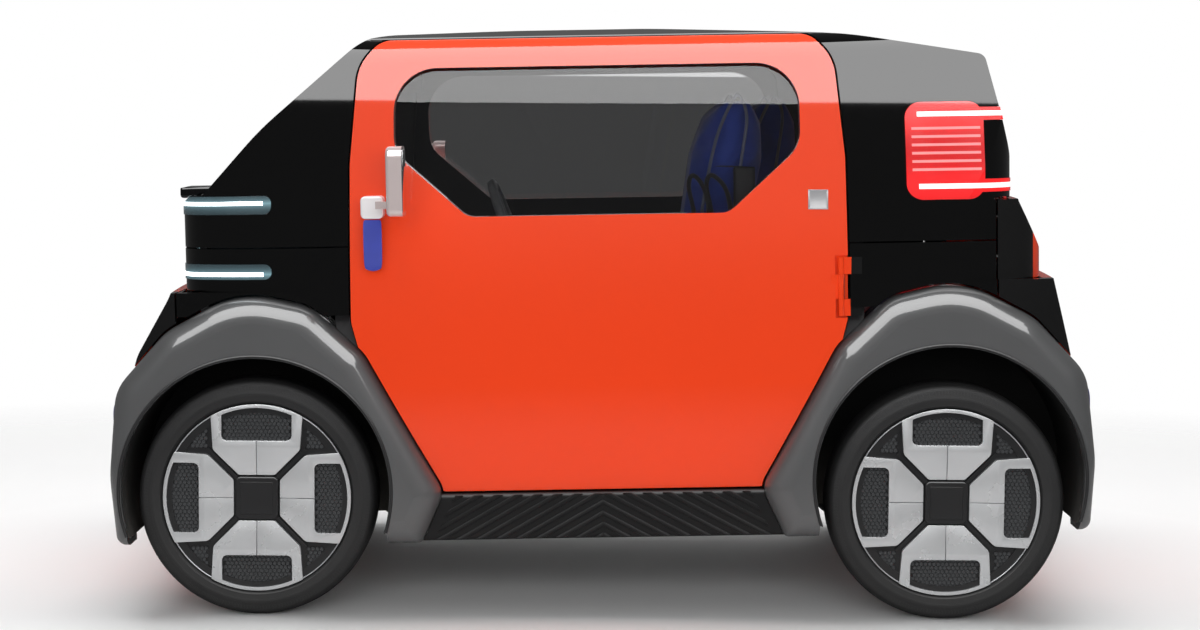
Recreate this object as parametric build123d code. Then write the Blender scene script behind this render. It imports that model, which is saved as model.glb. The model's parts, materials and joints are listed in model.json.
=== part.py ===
from build123d import *

# A two-seat electric microcar. Millimetres, +X towards the front of the car, +Y to its left, +Z up,
# with the origin on the ground under the middle of the car.
# The body is drawn level and then tipped nose-down by RAKE; the wheels and axles are drawn upright.

import os
from functools import lru_cache
from math import hypot, radians, sin, tan

# ---------------------------------------------------------------- driving dimensions
OVERALL_LENGTH = 2500.0   # over the bumper pads
FENDER_WIDTH = 1500.0     # over the fenders, without the mirrors
OVERALL_HEIGHT = 1500.0
WHEELBASE = 1730.0
RAKE = 1.36               # degrees, nose-down stance of the body
RAKE_PIVOT_Z = 447.0      # height about which the body is tipped, level with the bumper pads

TYRE_RADIUS = 300.0
TYRE_WIDTH = 145.0
TYRE_INSET = 50.0         # outer sidewall inboard of the fender face
RIM_RADIUS = 228.0        # bead seat
RIM_WALL = 14.0
BEAD_GAP = 0.8            # clearance between the tyre and the rim on their round faces
COVER_RADIUS = 236.0
LIP_FACE = 11.5           # outer face of the wheel's rim lip, inboard of the tyre's sidewall
DISC_FACE = 16.0          # outer face of the wheel disc, inboard of the tyre's sidewall
BLADE_PROUD = 1.0         # crease of a blade outboard of the tyre's sidewall
BLADE_CREASE = 130.0      # height of a blade's crease above the wheel's centre
BLADE_BAND = 9.0          # width of a blade outside its window
CAP_HALF = 54.0           # half width of the square cap
HUB_RADIUS = 46.0
STUB_RADIUS = 18.0
STUB_STOP = 37.0          # end of a stub axle, inboard of the tyre's sidewall
KINGPIN_INSET = 52.5      # kingpin axis inboard of the wheel's centre plane
KINGPIN_RADIUS = 11.0
YOKE_HALF = 75.0          # half height of the fork that holds a knuckle
LUG = 23.0                # thickness of each of its two lugs
BEAM_HALF = 32.0          # half height of both axle beams
ARM_REACH = 130.0         # track rod ahead of the front axle
ROD_RADIUS = 11.0
ROD_DROP = 34.0           # track rod below the wheel centres

BODY_BOTTOM = 200.0
BODY_INSET = 28.0         # body side inboard of the fender face
SKIN = 24.0               # roof, corner, front and rear panels
GLASS = 7.0
DOOR_THICKNESS = 55.0
DOOR_HALF_LENGTH = 618.0
DOOR_BOTTOM = 327.0
FRAME_DEPTH = 90.0        # inner face of the cab frame, measured in from the outer skin
FRAME_LAND = 62.0         # width of the cab frame round each door aperture
FLOOR_THICKNESS = 20.0
FENDER_SKIN = 18.0
FENDER_EDGE = 65.0        # rounding of the fender's outer edge
FENDER_TOP = 842.0
ARCH_RADIUS = 335.0
ARCH_Z = 342.0
LINER_WALL = 3.0
LINER_GAP = 1.0           # liner's inner face outside the arch edge
WELL_INNER_Y = 368.0
WINDOW_SILL = 1016.0
GLASS_INSET = 18.0        # door glass behind the outer skin
PANEL_GAP = 5.0           # open joint between two outer panels
SEAT_GAP = 0.3            # clearance where one piece rests on another
GLAZING_GAP = 0.6
DOOR_CLEARANCE = 7.0      # between the door's inner face and the cab frame
HINGE_BARREL = 7.0
HINGE_PIN = 4.0
HINGE_INSET = 18.0        # hinge axis ahead of the door's hinged edge
HINGE_LOW = 756.0
HINGE_HIGH = 902.0
KNUCKLE = 42.0            # length of each knuckle on the body's side of a hinge
HANDLE_X = 558.0
HANDLE_Z = 1045.0
HANDLE_SIZE = 56.0
HANDLE_PROUD = 22.0       # handle block's face outboard of the body side
STRAP_LENGTH = 132.0
STRAP_WIDTH = 50.0
RAIL_Y = 250.0
RAIL_Z = 401.0
TOW_RADIUS = 9.0          # socket for a screw-in towing eye
TOW_DEPTH = 60.0
TOW_SEAT_RADIUS = 15.0
STRUT_Y = 330.0
PAD_PROUD = 20.0          # bumper pad face ahead of the panel behind it
SEAT_Y = 325.0
SEAT_HALF = 200.0
SEAT_BASE = 390.0
SEAT_SETBACK = 140.0      # passenger seat behind the driver's
STEERING_RADIUS = 175.0
COLUMN_TILT = 20.0        # degrees

HALF_LENGTH = OVERALL_LENGTH / 2
HALF_WIDTH = FENDER_WIDTH / 2
AXLE_X = WHEELBASE / 2
TRACK_HALF = HALF_WIDTH - TYRE_INSET - TYRE_WIDTH / 2
KINGPIN_Y = TRACK_HALF - KINGPIN_INSET
BODY_HALF = HALF_WIDTH - BODY_INSET
ROOF_HALF = BODY_HALF - 165.0
NOSE = HALF_LENGTH - PAD_PROUD
FENDER_INNER_Y = BODY_HALF - 117.0
FLOOR_HALF = BODY_HALF - 86.0
BELT = 838.0              # joint between the coloured lower panels and the black upper ones
DECK = 1038.0             # top of the coloured rear panel, at the foot of the rear window
WINDOW_TOP = OVERALL_HEIGHT - 112.0
DOOR_TOP = OVERALL_HEIGHT - 40.0
DOOR_INNER_Y = ROOF_HALF + 3.0
HINGE_X = DOOR_HALF_LENGTH - HINGE_INSET
HINGE_Y = BODY_HALF - 6.0
FRONT_PANEL_X = AXLE_X + 195.0
REAR_PANEL_X = AXLE_X + 130.0
FAR = 7000.0              # centre of the gentle plan curvature of the front and rear faces
AXLE_Z = TYRE_RADIUS
ROD_Z = AXLE_Z - ROD_DROP
FLOOR_TOP = BODY_BOTTOM + SKIN + FLOOR_THICKNESS
HANDLE_Y = BODY_HALF + HANDLE_PROUD
TOW_SEAT_X = NOSE - SKIN - 12.0
WHEEL_CENTRE = (223.0, SEAT_Y, 935.0)
TIP = Pos(0, 0, RAKE_PIVOT_Z) * Rot(0, RAKE, 0) * Pos(0, 0, -RAKE_PIVOT_Z)


# ---------------------------------------------------------------- outlines
def offset_outline(points, distance):
    """Move a counter-clockwise outline inwards by distance; corner radii follow."""
    moved = []
    count = len(points)
    for index, (u, v, radius) in enumerate(points):
        before = points[index - 1]
        after = points[(index + 1) % count]
        run_in = hypot(u - before[0], v - before[1])
        run_out = hypot(after[0] - u, after[1] - v)
        normal_in = (-(v - before[1]) / run_in, (u - before[0]) / run_in)
        normal_out = (-(after[1] - v) / run_out, (after[0] - u) / run_out)
        share = distance / (1 + normal_in[0] * normal_out[0] + normal_in[1] * normal_out[1])
        turn = normal_in[0] * normal_out[1] - normal_in[1] * normal_out[0]
        new_radius = radius - distance if turn > 0 else radius + distance
        if radius == 0:
            new_radius = 0
        moved.append((u + share * (normal_in[0] + normal_out[0]),
                      v + share * (normal_in[1] + normal_out[1]), max(new_radius, 0)))
    return moved


def outline_face(points):
    """A flat face from (u, v, corner radius) points, its round corners as true arcs."""
    edges = []
    joints = []
    count = len(points)
    for index, (u, v, radius) in enumerate(points):
        before = points[index - 1]
        after = points[(index + 1) % count]
        here = Vector(u, v)
        to_before = (Vector(before[0], before[1]) - here).normalized()
        to_after = (Vector(after[0], after[1]) - here).normalized()
        half_angle = radians(to_before.get_angle(to_after)) / 2
        if radius <= 0.01:
            joints.append((here, here, here))
            continue
        reach = radius / tan(half_angle)
        middle = here + (to_before + to_after).normalized() * (radius / sin(half_angle) - radius)
        joints.append((here + to_before * reach, middle, here + to_after * reach))
    for index, (start, middle, end) in enumerate(joints):
        if (end - start).length > 1e-6:
            edges.append(ThreePointArc(start, middle, end))
        edges.append(Line(end, joints[(index + 1) % count][0]))
    return make_face(Wire(edges))


def mirrored_outline(half):
    """Complete a symmetric outline from its right-hand half, listed from the bottom upwards."""
    return half + [(-u, v, radius) for u, v, radius in reversed(half)]


def side_prism(points, y_low, y_high):
    """Extrude an outline drawn in side view (x, z) across y_low to y_high."""
    face = Pos(0, y_low, 0) * (Plane.XZ * outline_face(points))
    return extrude(face, amount=y_high - y_low, dir=(0, 1, 0))


def front_prism(points, x_low, x_high):
    """Extrude an outline drawn in front view (y, z) along x_low to x_high."""
    face = Pos(x_low, 0, 0) * (Plane.YZ * outline_face(points))
    return extrude(face, amount=x_high - x_low, dir=(1, 0, 0))


def plan_prism(points, z_low, z_high):
    """Extrude an outline drawn in plan (x, y) from z_low to z_high."""
    return extrude(Pos(0, 0, z_low) * outline_face(points), amount=z_high - z_low, dir=(0, 0, 1))


def block(x_low, x_high, y_low, y_high, z_low, z_high):
    """A box between two corners."""
    size = (x_high - x_low, y_high - y_low, z_high - z_low)
    centre = ((x_high + x_low) / 2, (y_high + y_low) / 2, (z_high + z_low) / 2)
    return Pos(*centre) * Box(*size)


def cylinder_y(radius, x, z, y_low, y_high):
    """A round bar along Y."""
    return Pos(x, (y_low + y_high) / 2, z) * Rot(90, 0, 0) * Cylinder(radius, y_high - y_low)


def cylinder_z(radius, x, y, z_low, z_high):
    """A round bar along Z."""
    return Pos(x, y, (z_low + z_high) / 2) * Cylinder(radius, z_high - z_low)


def other_side(shape):
    """The same piece on the right of the car."""
    return mirror(shape, about=Plane.XZ)


def other_end(shape):
    """The same piece at the rear of the car."""
    return mirror(shape, about=Plane.YZ)


def pair(shape):
    """The piece and its mirror image across the car's centre plane."""
    return [shape, other_side(shape)]


def solids_of(shapes):
    """A flat list of the solids in a shape or a list of shapes."""
    if isinstance(shapes, (list, tuple)):
        return [solid for shape in shapes for solid in solids_of(shape)]
    return list(shapes.solids())


def save(name, shapes, tipped=True):
    """Write one sub-part, tipped with the body unless it stands upright on the wheels."""
    solids = solids_of(shapes)
    placed = [TIP * solid for solid in solids] if tipped else solids
    whole = placed[0] if len(placed) == 1 else Compound(placed)
    whole.label = name
    export_step(whole, os.path.join("parts", name + ".step"))
    print(f"{name:28s} {len(solids)} solid(s)")


# ---------------------------------------------------------------- body form
def section_outline():
    """Cross-section of the body: sill, bulged flank, leaning greenhouse side and crowned roof."""
    shoulder_z = OVERALL_HEIGHT - 38.0
    half = [
        (BODY_HALF - 66, BODY_BOTTOM, 20),
        (BODY_HALF - 2, 520, 1000),
        (BODY_HALF, 850, 1500),
        (BODY_HALF - 128, shoulder_z, 80),
    ]
    crown = [(0, OVERALL_HEIGHT + 8, 3500)]
    return half + crown + mirrored_outline(half)[len(half):]


def nose_outline():
    """Side view of the front: lower panel, lamp face, short cowl, windshield, roof."""
    return [
        (-HALF_LENGTH - 100, BODY_BOTTOM, 0),
        (NOSE - 26, BODY_BOTTOM, 40),
        (NOSE, 330, 150),
        (NOSE - 6, 570, 150),
        (NOSE - 40, 680, 120),
        (NOSE - 136, 842, 200),
        (NOSE - 152, 930, 200),
        (NOSE - 164, 1072, 35),
        (NOSE - 218, 1082, 20),
        (NOSE - 360, 1240, 800),
        (NOSE - 640, OVERALL_HEIGHT - 22, 200),
        (0, OVERALL_HEIGHT + 2, 2000),
        (-HALF_LENGTH - 100, OVERALL_HEIGHT + 2, 0),
    ]


def tail_outline():
    """Side view of the rear, drawn with x rearwards: lower panel, upright window, roof edge."""
    return [
        (-HALF_LENGTH - 100, BODY_BOTTOM, 0),
        (NOSE - 26, BODY_BOTTOM, 40),
        (NOSE, 330, 150),
        (NOSE - 16, 620, 300),
        (NOSE - 74, 870, 200),
        (NOSE - 154, 1036, 40),
        (NOSE - 168, 1150, 400),
        (NOSE - 232, OVERALL_HEIGHT - 100, 25),
        (NOSE - 570, OVERALL_HEIGHT - 42, 900),
        (0, OVERALL_HEIGHT + 2, 2000),
        (-HALF_LENGTH - 100, OVERALL_HEIGHT + 2, 0),
    ]


def plan_outline(front_x, rear_x):
    """Plan of the body at one level, with rounded corners front and rear."""
    side = BODY_HALF + 2
    return [
        (front_x + 4, 0, 0),
        (front_x - 42, side - 84, 110),
        (front_x - 190, side - 30, 400),
        (560, side, 2500),
        (-560, side, 2500),
        (-rear_x + 190, side - 30, 400),
        (-rear_x + 42, side - 84, 110),
        (-rear_x - 4, 0, 0),
        (-rear_x + 42, -side + 84, 110),
        (-rear_x + 190, -side + 30, 400),
        (-560, -side, 2500),
        (560, -side, 2500),
        (front_x - 190, -side + 30, 400),
        (front_x - 42, -side + 84, 110),
    ]


def curved_end(points):
    """Sweep an end's side view round a far vertical axis, so its faces bow gently in plan."""
    face = Plane.XZ * outline_face(points)
    axis = Axis((-FAR, 0, 0), (0, 0, 1))
    reach = 35.0
    start = face.rotate(axis, -reach)
    return revolve(start, axis=axis, revolution_arc=2 * reach)


@lru_cache(maxsize=None)
def hull(inwards):
    """The whole body form as one solid, with every face moved inwards by the given distance."""
    section = front_prism(offset_outline(section_outline(), inwards), -HALF_LENGTH - 60, HALF_LENGTH + 60)
    upper = plan_prism(offset_outline(plan_outline(NOSE - 144, NOSE - 150), inwards), DECK, OVERALL_HEIGHT + 90)
    middle = plan_prism(offset_outline(plan_outline(NOSE - 144, NOSE - 76), inwards), BELT, DECK)
    lower = plan_prism(offset_outline(plan_outline(NOSE + 30, NOSE + 30), inwards), BODY_BOTTOM - 90, BELT)
    front = curved_end(offset_outline(nose_outline(), inwards))
    rear = other_end(curved_end(offset_outline(tail_outline(), inwards)))
    return section & (upper + middle + lower) & front & rear


def shell(outer, inner):
    """The layer of the body form between two depths."""
    return hull(outer) - hull(inner)


# ---------------------------------------------------------------- shared outlines
def fender_outline():
    """Side view of the front fender's outer edge."""
    end = HALF_LENGTH
    return [
        (AXLE_X - 410, BODY_BOTTOM, 15),
        (end - 28, BODY_BOTTOM + 6, 25),
        (end - 14, 380, 300),
        (end - 36, 600, 120),
        (AXLE_X + 220, 742, 150),
        (AXLE_X + 35, FENDER_TOP, 250),
        (AXLE_X - 145, FENDER_TOP - 40, 120),
        (AXLE_X - 275, 680, 100),
        (AXLE_X - 467, DOOR_BOTTOM - 2, 60),
    ]


def door_outline():
    """Side view of the door, the same both ways round."""
    edge = DOOR_HALF_LENGTH
    return mirrored_outline([
        (edge - 214, DOOR_BOTTOM, 20),
        (edge - 18, 690, 60),
        (edge, 760, 80),
        (edge, 1150, 300),
        (edge - 22, DOOR_TOP - 65, 120),
        (edge - 78, DOOR_TOP, 60),
    ])


def window_outline():
    """Side view of the door's window, with cut-off lower corners."""
    edge = DOOR_HALF_LENGTH - 110
    return mirrored_outline([
        (edge - 183, WINDOW_SILL, 50),
        (edge, WINDOW_SILL + 162, 90),
        (edge, WINDOW_TOP, 110),
    ])


def fender_space(gap, inner_y=0):
    """Room kept on the left for the two fenders' outlines, from inner_y outwards."""
    front = side_prism(offset_outline(fender_outline(), -gap), inner_y, HALF_WIDTH + 50)
    return front + other_end(front)


def both_sides(shape):
    """The shape joined with its mirror image on the right."""
    return shape + other_side(shape)


def wheel_well(gap):
    """Space inside the front left wheel liner, its wall included."""
    radius = ARCH_RADIUS + LINER_GAP + LINER_WALL + gap
    inner = WELL_INNER_Y - gap
    round_part = cylinder_y(radius, AXLE_X, ARCH_Z, inner, HALF_WIDTH + 50)
    lower_part = block(AXLE_X - radius, AXLE_X + radius, inner, HALF_WIDTH + 50, 0, ARCH_Z)
    return round_part + lower_part


@lru_cache(maxsize=None)
def wheel_wells():
    """All four wheel wells with the clearance of a seated piece."""
    left = wheel_well(SEAT_GAP)
    left = left + other_end(left)
    return left + other_side(left)


def floor_path():
    """Outer face of the bulkheads and floor, from the cowl down, back and up to the rear shelf."""
    well_top = ARCH_Z + ARCH_RADIUS + LINER_GAP + LINER_WALL
    return [
        (AXLE_X + 140, 1046),
        (AXLE_X + 140, well_top + 20),
        (AXLE_X - 35, well_top + 6),
        (AXLE_X - 65, 420),
        (AXLE_X - 295, BODY_BOTTOM + SKIN),
        (-AXLE_X + 395, BODY_BOTTOM + SKIN),
        (-AXLE_X + 353, well_top + 6),
        (-NOSE + 134, well_top + 26),
    ]


def offset_path(points, distance):
    """Move an open path to its left by distance, seen along its run."""
    moved = []
    for index, (u, v) in enumerate(points):
        normals = []
        for a, b in ((index - 1, index), (index, index + 1)):
            if a >= 0 and b < len(points):
                du = points[b][0] - points[a][0]
                dv = points[b][1] - points[a][1]
                run = hypot(du, dv)
                normals.append((-dv / run, du / run))
        first = normals[0]
        last = normals[-1]
        share = distance / (1 + first[0] * last[0] + first[1] * last[1]) if len(normals) == 2 else distance / 2
        moved.append((u + share * (first[0] + last[0]), v + share * (first[1] + last[1])))
    return moved


def under_floor():
    """Side view region outside the floor and bulkheads, where the running gear may reach."""
    edge = offset_path(floor_path(), SEAT_GAP)
    points = [(-2 * HALF_LENGTH, edge[-1][1]), (-2 * HALF_LENGTH, 0), (2 * HALF_LENGTH, 0),
              (2 * HALF_LENGTH, edge[0][1])] + edge
    return side_prism([(u, v, 0) for u, v in points], -HALF_WIDTH, HALF_WIDTH)


# ---------------------------------------------------------------- lower structure
def floor_sheet(gap):
    """The bent sheet of the floor and bulkheads, thickened by a gap on every side."""
    outer = offset_path(floor_path(), gap)
    inner = offset_path(floor_path(), -FLOOR_THICKNESS - gap)
    points = [(u, v, 0) for u, v in outer] + [(u, v, 0) for u, v in reversed(inner)]
    return side_prism(points, -FLOOR_HALF - gap, FLOOR_HALF + gap)


def tow_bore(radius, x_low, x_high):
    """Cutter for the socket of the front towing eye, in the right-hand rail."""
    return Pos((x_low + x_high) / 2, -RAIL_Y, RAIL_Z) * Rot(0, 90, 0) * Cylinder(radius, x_high - x_low)


def tow_sockets():
    """Both towing sockets: a bore in the rail's end behind a wider seat and panel hole."""
    front = tow_bore(TOW_RADIUS, TOW_SEAT_X - TOW_DEPTH, TOW_SEAT_X)
    front = front + tow_bore(TOW_SEAT_RADIUS, TOW_SEAT_X, HALF_LENGTH)
    return front + Rot(0, 0, 180) * front


def make_floor_pan():
    """Floor, toe board, bulkheads and rear shelf in one sheet, with two rails to each end panel."""
    sheet = floor_sheet(0)
    rail = block(AXLE_X - 95, HALF_LENGTH, RAIL_Y - 30, RAIL_Y + 30, RAIL_Z - 35, RAIL_Z + 35)
    rear_rail = block(-HALF_LENGTH, -AXLE_X + 385, RAIL_Y - 30, RAIL_Y + 30, RAIL_Z - 35, RAIL_Z + 35)
    whole = sheet + rail + rear_rail + other_side(rail) + other_side(rear_rail)
    cabin = offset_path(floor_path(), -FLOOR_THICKNESS) + [(-NOSE, 1400), (NOSE, 1400)]
    whole = whole - side_prism([(u, v, 0) for u, v in reversed(cabin)], -HALF_WIDTH, HALF_WIDTH)
    fenders = both_sides(fender_space(SEAT_GAP, FENDER_INNER_Y - SEAT_GAP))
    return (whole & hull(SKIN + SEAT_GAP)) - wheel_wells() - fenders - tow_sockets()


def make_sill():
    """Left sill below the door, between the two fenders."""
    reach = AXLE_X - 395
    outline = mirrored_outline([(reach, BODY_BOTTOM + 4, 10), (reach, DOOR_BOTTOM - PANEL_GAP, 10)])
    bar = side_prism(outline, FLOOR_HALF + SEAT_GAP, BODY_HALF - 26)
    bar = fillet(bar.edges().filter_by(Axis.X).group_by(Axis.Y)[-1], 12)
    return bar - fender_space(SEAT_GAP)


def make_fender():
    """Front left fender: a rounded skin, open towards the body and round the wheel."""
    outer = side_prism(fender_outline(), FENDER_INNER_Y, HALF_WIDTH)
    outer = fillet(outer.faces().sort_by(Axis.Y)[-1].edges(), FENDER_EDGE)
    inside = offset_outline(fender_outline(), FENDER_SKIN)
    hollow = side_prism(inside, FENDER_INNER_Y - 13, HALF_WIDTH - FENDER_SKIN)
    hollow = fillet(hollow.faces().sort_by(Axis.Y)[-1].edges(), FENDER_EDGE - FENDER_SKIN)
    arch = cylinder_y(ARCH_RADIUS, AXLE_X, ARCH_Z, 0, HALF_WIDTH + 50)
    foot = block(AXLE_X - 325, AXLE_X + 325, 0, HALF_WIDTH + 50, 0, ARCH_Z)
    return outer - hollow - arch - foot


def make_wheel_liner():
    """Front left wheel liner: a half tunnel with an inner wall."""
    radius = ARCH_RADIUS + LINER_GAP
    outer_y = HALF_WIDTH - FENDER_SKIN - SEAT_GAP
    tunnel = cylinder_y(radius + LINER_WALL, AXLE_X, ARCH_Z, WELL_INNER_Y, outer_y)
    space = cylinder_y(radius, AXLE_X, ARCH_Z, WELL_INNER_Y + LINER_WALL, outer_y + 50)
    below = block(AXLE_X - 400, AXLE_X + 400, 0, HALF_WIDTH, -50, BODY_BOTTOM + 30)
    slot = block(AXLE_X - 50, AXLE_X + ARM_REACH + 40, 0, WELL_INNER_Y + 60, 0, AXLE_Z + 75)
    return tunnel - space - below - slot - make_fender()


# ---------------------------------------------------------------- upper body
def corner_zone():
    """Everything outboard of the roof and windshield edges on the left, above the fenders."""
    zone = block(-HALF_LENGTH, HALF_LENGTH, ROOF_HALF + 2.5, HALF_WIDTH, BELT - 60, OVERALL_HEIGHT + 20)
    zone = zone - fender_space(PANEL_GAP)
    nose = block(FRONT_PANEL_X - PANEL_GAP, HALF_LENGTH, 0, HALF_WIDTH, 0, BELT + PANEL_GAP)
    tail = block(-HALF_LENGTH, -REAR_PANEL_X + PANEL_GAP, 0, HALF_WIDTH, 0, DECK + PANEL_GAP)
    zone = zone - nose - tail
    return zone - side_prism(offset_outline(door_outline(), -PANEL_GAP), 0, HALF_WIDTH)


def headlight_zone(gap):
    """Room for the left headlight's two bars, each wrapping round the corner and hooking inwards."""
    zones = []
    start = NOSE - 415
    hook_y = ROOF_HALF - 87
    for low, high, hook_low, hook_high in ((1031, 1076, 988, 1076), (869, 907, 869, 950)):
        bar = side_prism([(start - gap, low - gap, 18), (HALF_LENGTH, low - gap, 0),
                          (HALF_LENGTH, high + gap, 0), (start - gap, high + gap, 18)], hook_y - gap, HALF_WIDTH)
        hook = front_prism([(hook_y - gap, hook_low - gap, 12), (hook_y + 42 + gap, hook_low - gap, 12),
                            (hook_y + 42 + gap, hook_high + gap, 0), (hook_y - gap, hook_high + gap, 18)],
                           AXLE_X + 60, HALF_LENGTH)
        zones.append(bar + hook)
    return zones[0] + zones[1]


def tail_light_zone(gap):
    """Room for the left tail light: a rounded square lens and two bars running round the corner."""
    x_low = -NOSE + 264
    x_high = x_low + 196
    lens = side_prism([(x_low - gap, 1040 - gap, 40), (x_high + gap, 1040 - gap, 40),
                       (x_high + gap, 1283 + gap, 40), (x_low - gap, 1283 + gap, 40)], ROOF_HALF, HALF_WIDTH)
    bar_y = ROOF_HALF + 22 - gap
    upper = block(-HALF_LENGTH, x_low + 60, bar_y, HALF_WIDTH, 1236 - gap, 1268 + gap)
    lower = block(-HALF_LENGTH, x_low + 60, bar_y, HALF_WIDTH, 1057 - gap, 1089 + gap)
    return lens + upper + lower


def make_front_corner():
    """Left front corner: black panel above and below a seam, with the lamp bars let in."""
    seam = block(0, HALF_LENGTH, 0, HALF_WIDTH, 945, 949)
    panel = (shell(0, SKIN) & corner_zone()) & block(0, HALF_LENGTH, 0, HALF_WIDTH, 0, 2 * OVERALL_HEIGHT)
    return panel - seam - headlight_zone(GLAZING_GAP)


def make_rear_corner():
    """Left rear corner panel, with the tail light let in."""
    seam = block(-HALF_LENGTH, 0, 0, HALF_WIDTH, 935, 939)
    panel = (shell(0, SKIN) & corner_zone()) & block(-HALF_LENGTH, 0, 0, HALF_WIDTH, 0, 2 * OVERALL_HEIGHT)
    return panel - seam - tail_light_zone(GLAZING_GAP)


def make_roof_panel():
    """Roof skin between the doors, from the windshield header to the rear window."""
    zone = block(-HALF_LENGTH, AXLE_X - 298, -ROOF_HALF + 2.5, ROOF_HALF - 2.5,
                 WINDOW_TOP, OVERALL_HEIGHT + 20)
    return shell(0, SKIN) & zone


def make_windshield():
    """Windshield glass, from the cowl to the roof header."""
    edge = ROOF_HALF + 2.5 - GLAZING_GAP
    zone = block(AXLE_X - 298 + GLAZING_GAP, HALF_LENGTH, -edge, edge, 1090, OVERALL_HEIGHT + 20)
    return shell(0, GLASS) & zone


def make_rear_window():
    """Rear glass, from the lower panel up to the roof edge."""
    edge = ROOF_HALF + 2.5 - GLAZING_GAP
    zone = block(-HALF_LENGTH, -NOSE + 324, -edge, edge, DECK + GLAZING_GAP, WINDOW_TOP - GLAZING_GAP)
    return shell(0, GLASS) & zone


def make_front_fascia():
    """Black panel between the headlights, with the cowl below the windshield."""
    edge = ROOF_HALF - 2.5
    zone = block(AXLE_X + 60, HALF_LENGTH, -edge, edge, BELT + 4, 1086)
    panel = (shell(0, SKIN) & zone) - headlight_zone(GLAZING_GAP)
    return panel - other_side(headlight_zone(GLAZING_GAP))


def end_panel_zone(start_x, top):
    """Room for a lower end panel, drawn at the front, between the fenders and over their slopes."""
    zone = block(start_x, HALF_LENGTH, -HALF_WIDTH, HALF_WIDTH, BODY_BOTTOM, top)
    return zone - both_sides(fender_space(PANEL_GAP, FENDER_INNER_Y - PANEL_GAP))


def make_front_panel():
    """Coloured lower front panel, between the fenders and over their front slopes."""
    return (shell(0, SKIN) & end_panel_zone(FRONT_PANEL_X, BELT)) - wheel_wells() - tow_sockets()


def make_rear_panel():
    """Coloured rear panel, from the fenders up to the rear window."""
    panel = shell(0, SKIN) & other_end(end_panel_zone(REAR_PANEL_X, DECK))
    return panel - wheel_wells() - tow_sockets()


def make_bumper_pad():
    """Soft pad on the left of the front panel, its flat face at the car's full length."""
    pad = front_prism([(320, 341, 40), (570, 341, 40), (570, 555, 40), (320, 555, 40)], NOSE - 80, HALF_LENGTH)
    pad = fillet(pad.faces().sort_by(Axis.X)[-1].edges(), 14)
    return pad - hull(-SEAT_GAP) - fender_space(PANEL_GAP, FENDER_INNER_Y - PANEL_GAP)


def make_cab_frame():
    """Inner frame: a rebated ring round each door, joined by headers at the windshield and rear."""
    ring_zone = side_prism(offset_outline(door_outline(), -42), ROOF_HALF - 25, HALF_WIDTH)
    foot = DOOR_HALF_LENGTH - 218
    ring_zone = ring_zone + block(-foot, foot, ROOF_HALF - 25, HALF_WIDTH, 0, DOOR_BOTTOM)
    aperture = side_prism(offset_outline(door_outline(), FRAME_LAND), 0, HALF_WIDTH)
    rebate = side_prism(offset_outline(door_outline(), -PANEL_GAP), DOOR_INNER_Y - PANEL_GAP, HALF_WIDTH)
    rebate = both_sides(rebate - hull(DOOR_THICKNESS + DOOR_CLEARANCE))
    layer = shell(SKIN + SEAT_GAP, FRAME_DEPTH)
    sill_room = block(-HALF_LENGTH, HALF_LENGTH, FLOOR_HALF, HALF_WIDTH, 0, DOOR_BOTTOM)
    side = (layer & ring_zone) - aperture - sill_room - fender_space(SEAT_GAP)
    side = side & block(-HALF_LENGTH, HALF_LENGTH, 0, HALF_WIDTH,
                        BODY_BOTTOM + SKIN + FLOOR_THICKNESS + SEAT_GAP, OVERALL_HEIGHT)
    front_header = layer & block(AXLE_X - 345, AXLE_X - 275, -ROOF_HALF - 20, ROOF_HALF + 20,
                                 OVERALL_HEIGHT - 160, OVERALL_HEIGHT)
    rear_header = layer & block(-AXLE_X + 275, -AXLE_X + 345, -ROOF_HALF - 20, ROOF_HALF + 20,
                                OVERALL_HEIGHT - 180, OVERALL_HEIGHT)
    whole = both_sides(side) + front_header + rear_header
    return whole - wheel_wells() - rebate - floor_sheet(SEAT_GAP)


# ---------------------------------------------------------------- doors
def hinge_pocket(z_low, z_high):
    """Pocket in the door's hinged edge for the hinge knuckles."""
    return block(-DOOR_HALF_LENGTH - 5, -HINGE_X + 14, HINGE_Y - 16, HALF_WIDTH, z_low, z_high)


def make_door():
    """Left door, hinged at its rear edge, with its window opening and its hinge knuckle."""
    door = shell(0, DOOR_THICKNESS) & side_prism(door_outline(), DOOR_INNER_Y, HALF_WIDTH)
    door = door - fender_space(PANEL_GAP) - side_prism(window_outline(), 300, HALF_WIDTH)
    door = door - hinge_pocket(HINGE_LOW - 4, HINGE_HIGH + 4)
    low = HINGE_LOW + KNUCKLE + SEAT_GAP
    high = HINGE_HIGH - KNUCKLE - SEAT_GAP
    knuckle = cylinder_z(HINGE_BARREL, -HINGE_X, HINGE_Y, low, high)
    knuckle = knuckle + block(-HINGE_X, -HINGE_X + 16, HINGE_Y - HINGE_BARREL, HINGE_Y - 1, low, high)
    knuckle = knuckle + block(-HINGE_X + 12, -HINGE_X + 24, HINGE_Y - 24, HINGE_Y - 1, low, high)
    knuckle = knuckle - cylinder_z(HINGE_PIN + SEAT_GAP, -HINGE_X, HINGE_Y, low - 1, high + 1)
    return door + (knuckle & hull(-6))


def make_door_hinge():
    """Body side of the left door's hinge: two knuckles, their pin and their plates."""
    parts = [cylinder_z(HINGE_PIN, -HINGE_X, HINGE_Y, HINGE_LOW, HINGE_HIGH)]
    for low in (HINGE_LOW, HINGE_HIGH - KNUCKLE):
        parts.append(cylinder_z(HINGE_BARREL, -HINGE_X, HINGE_Y, low, low + KNUCKLE))
        parts.append(block(-HINGE_X - 52, -HINGE_X, HINGE_Y - 12, HINGE_Y - 2, low, low + KNUCKLE))
    return parts[0] + parts[1] + parts[2] + parts[3] + parts[4]


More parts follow.
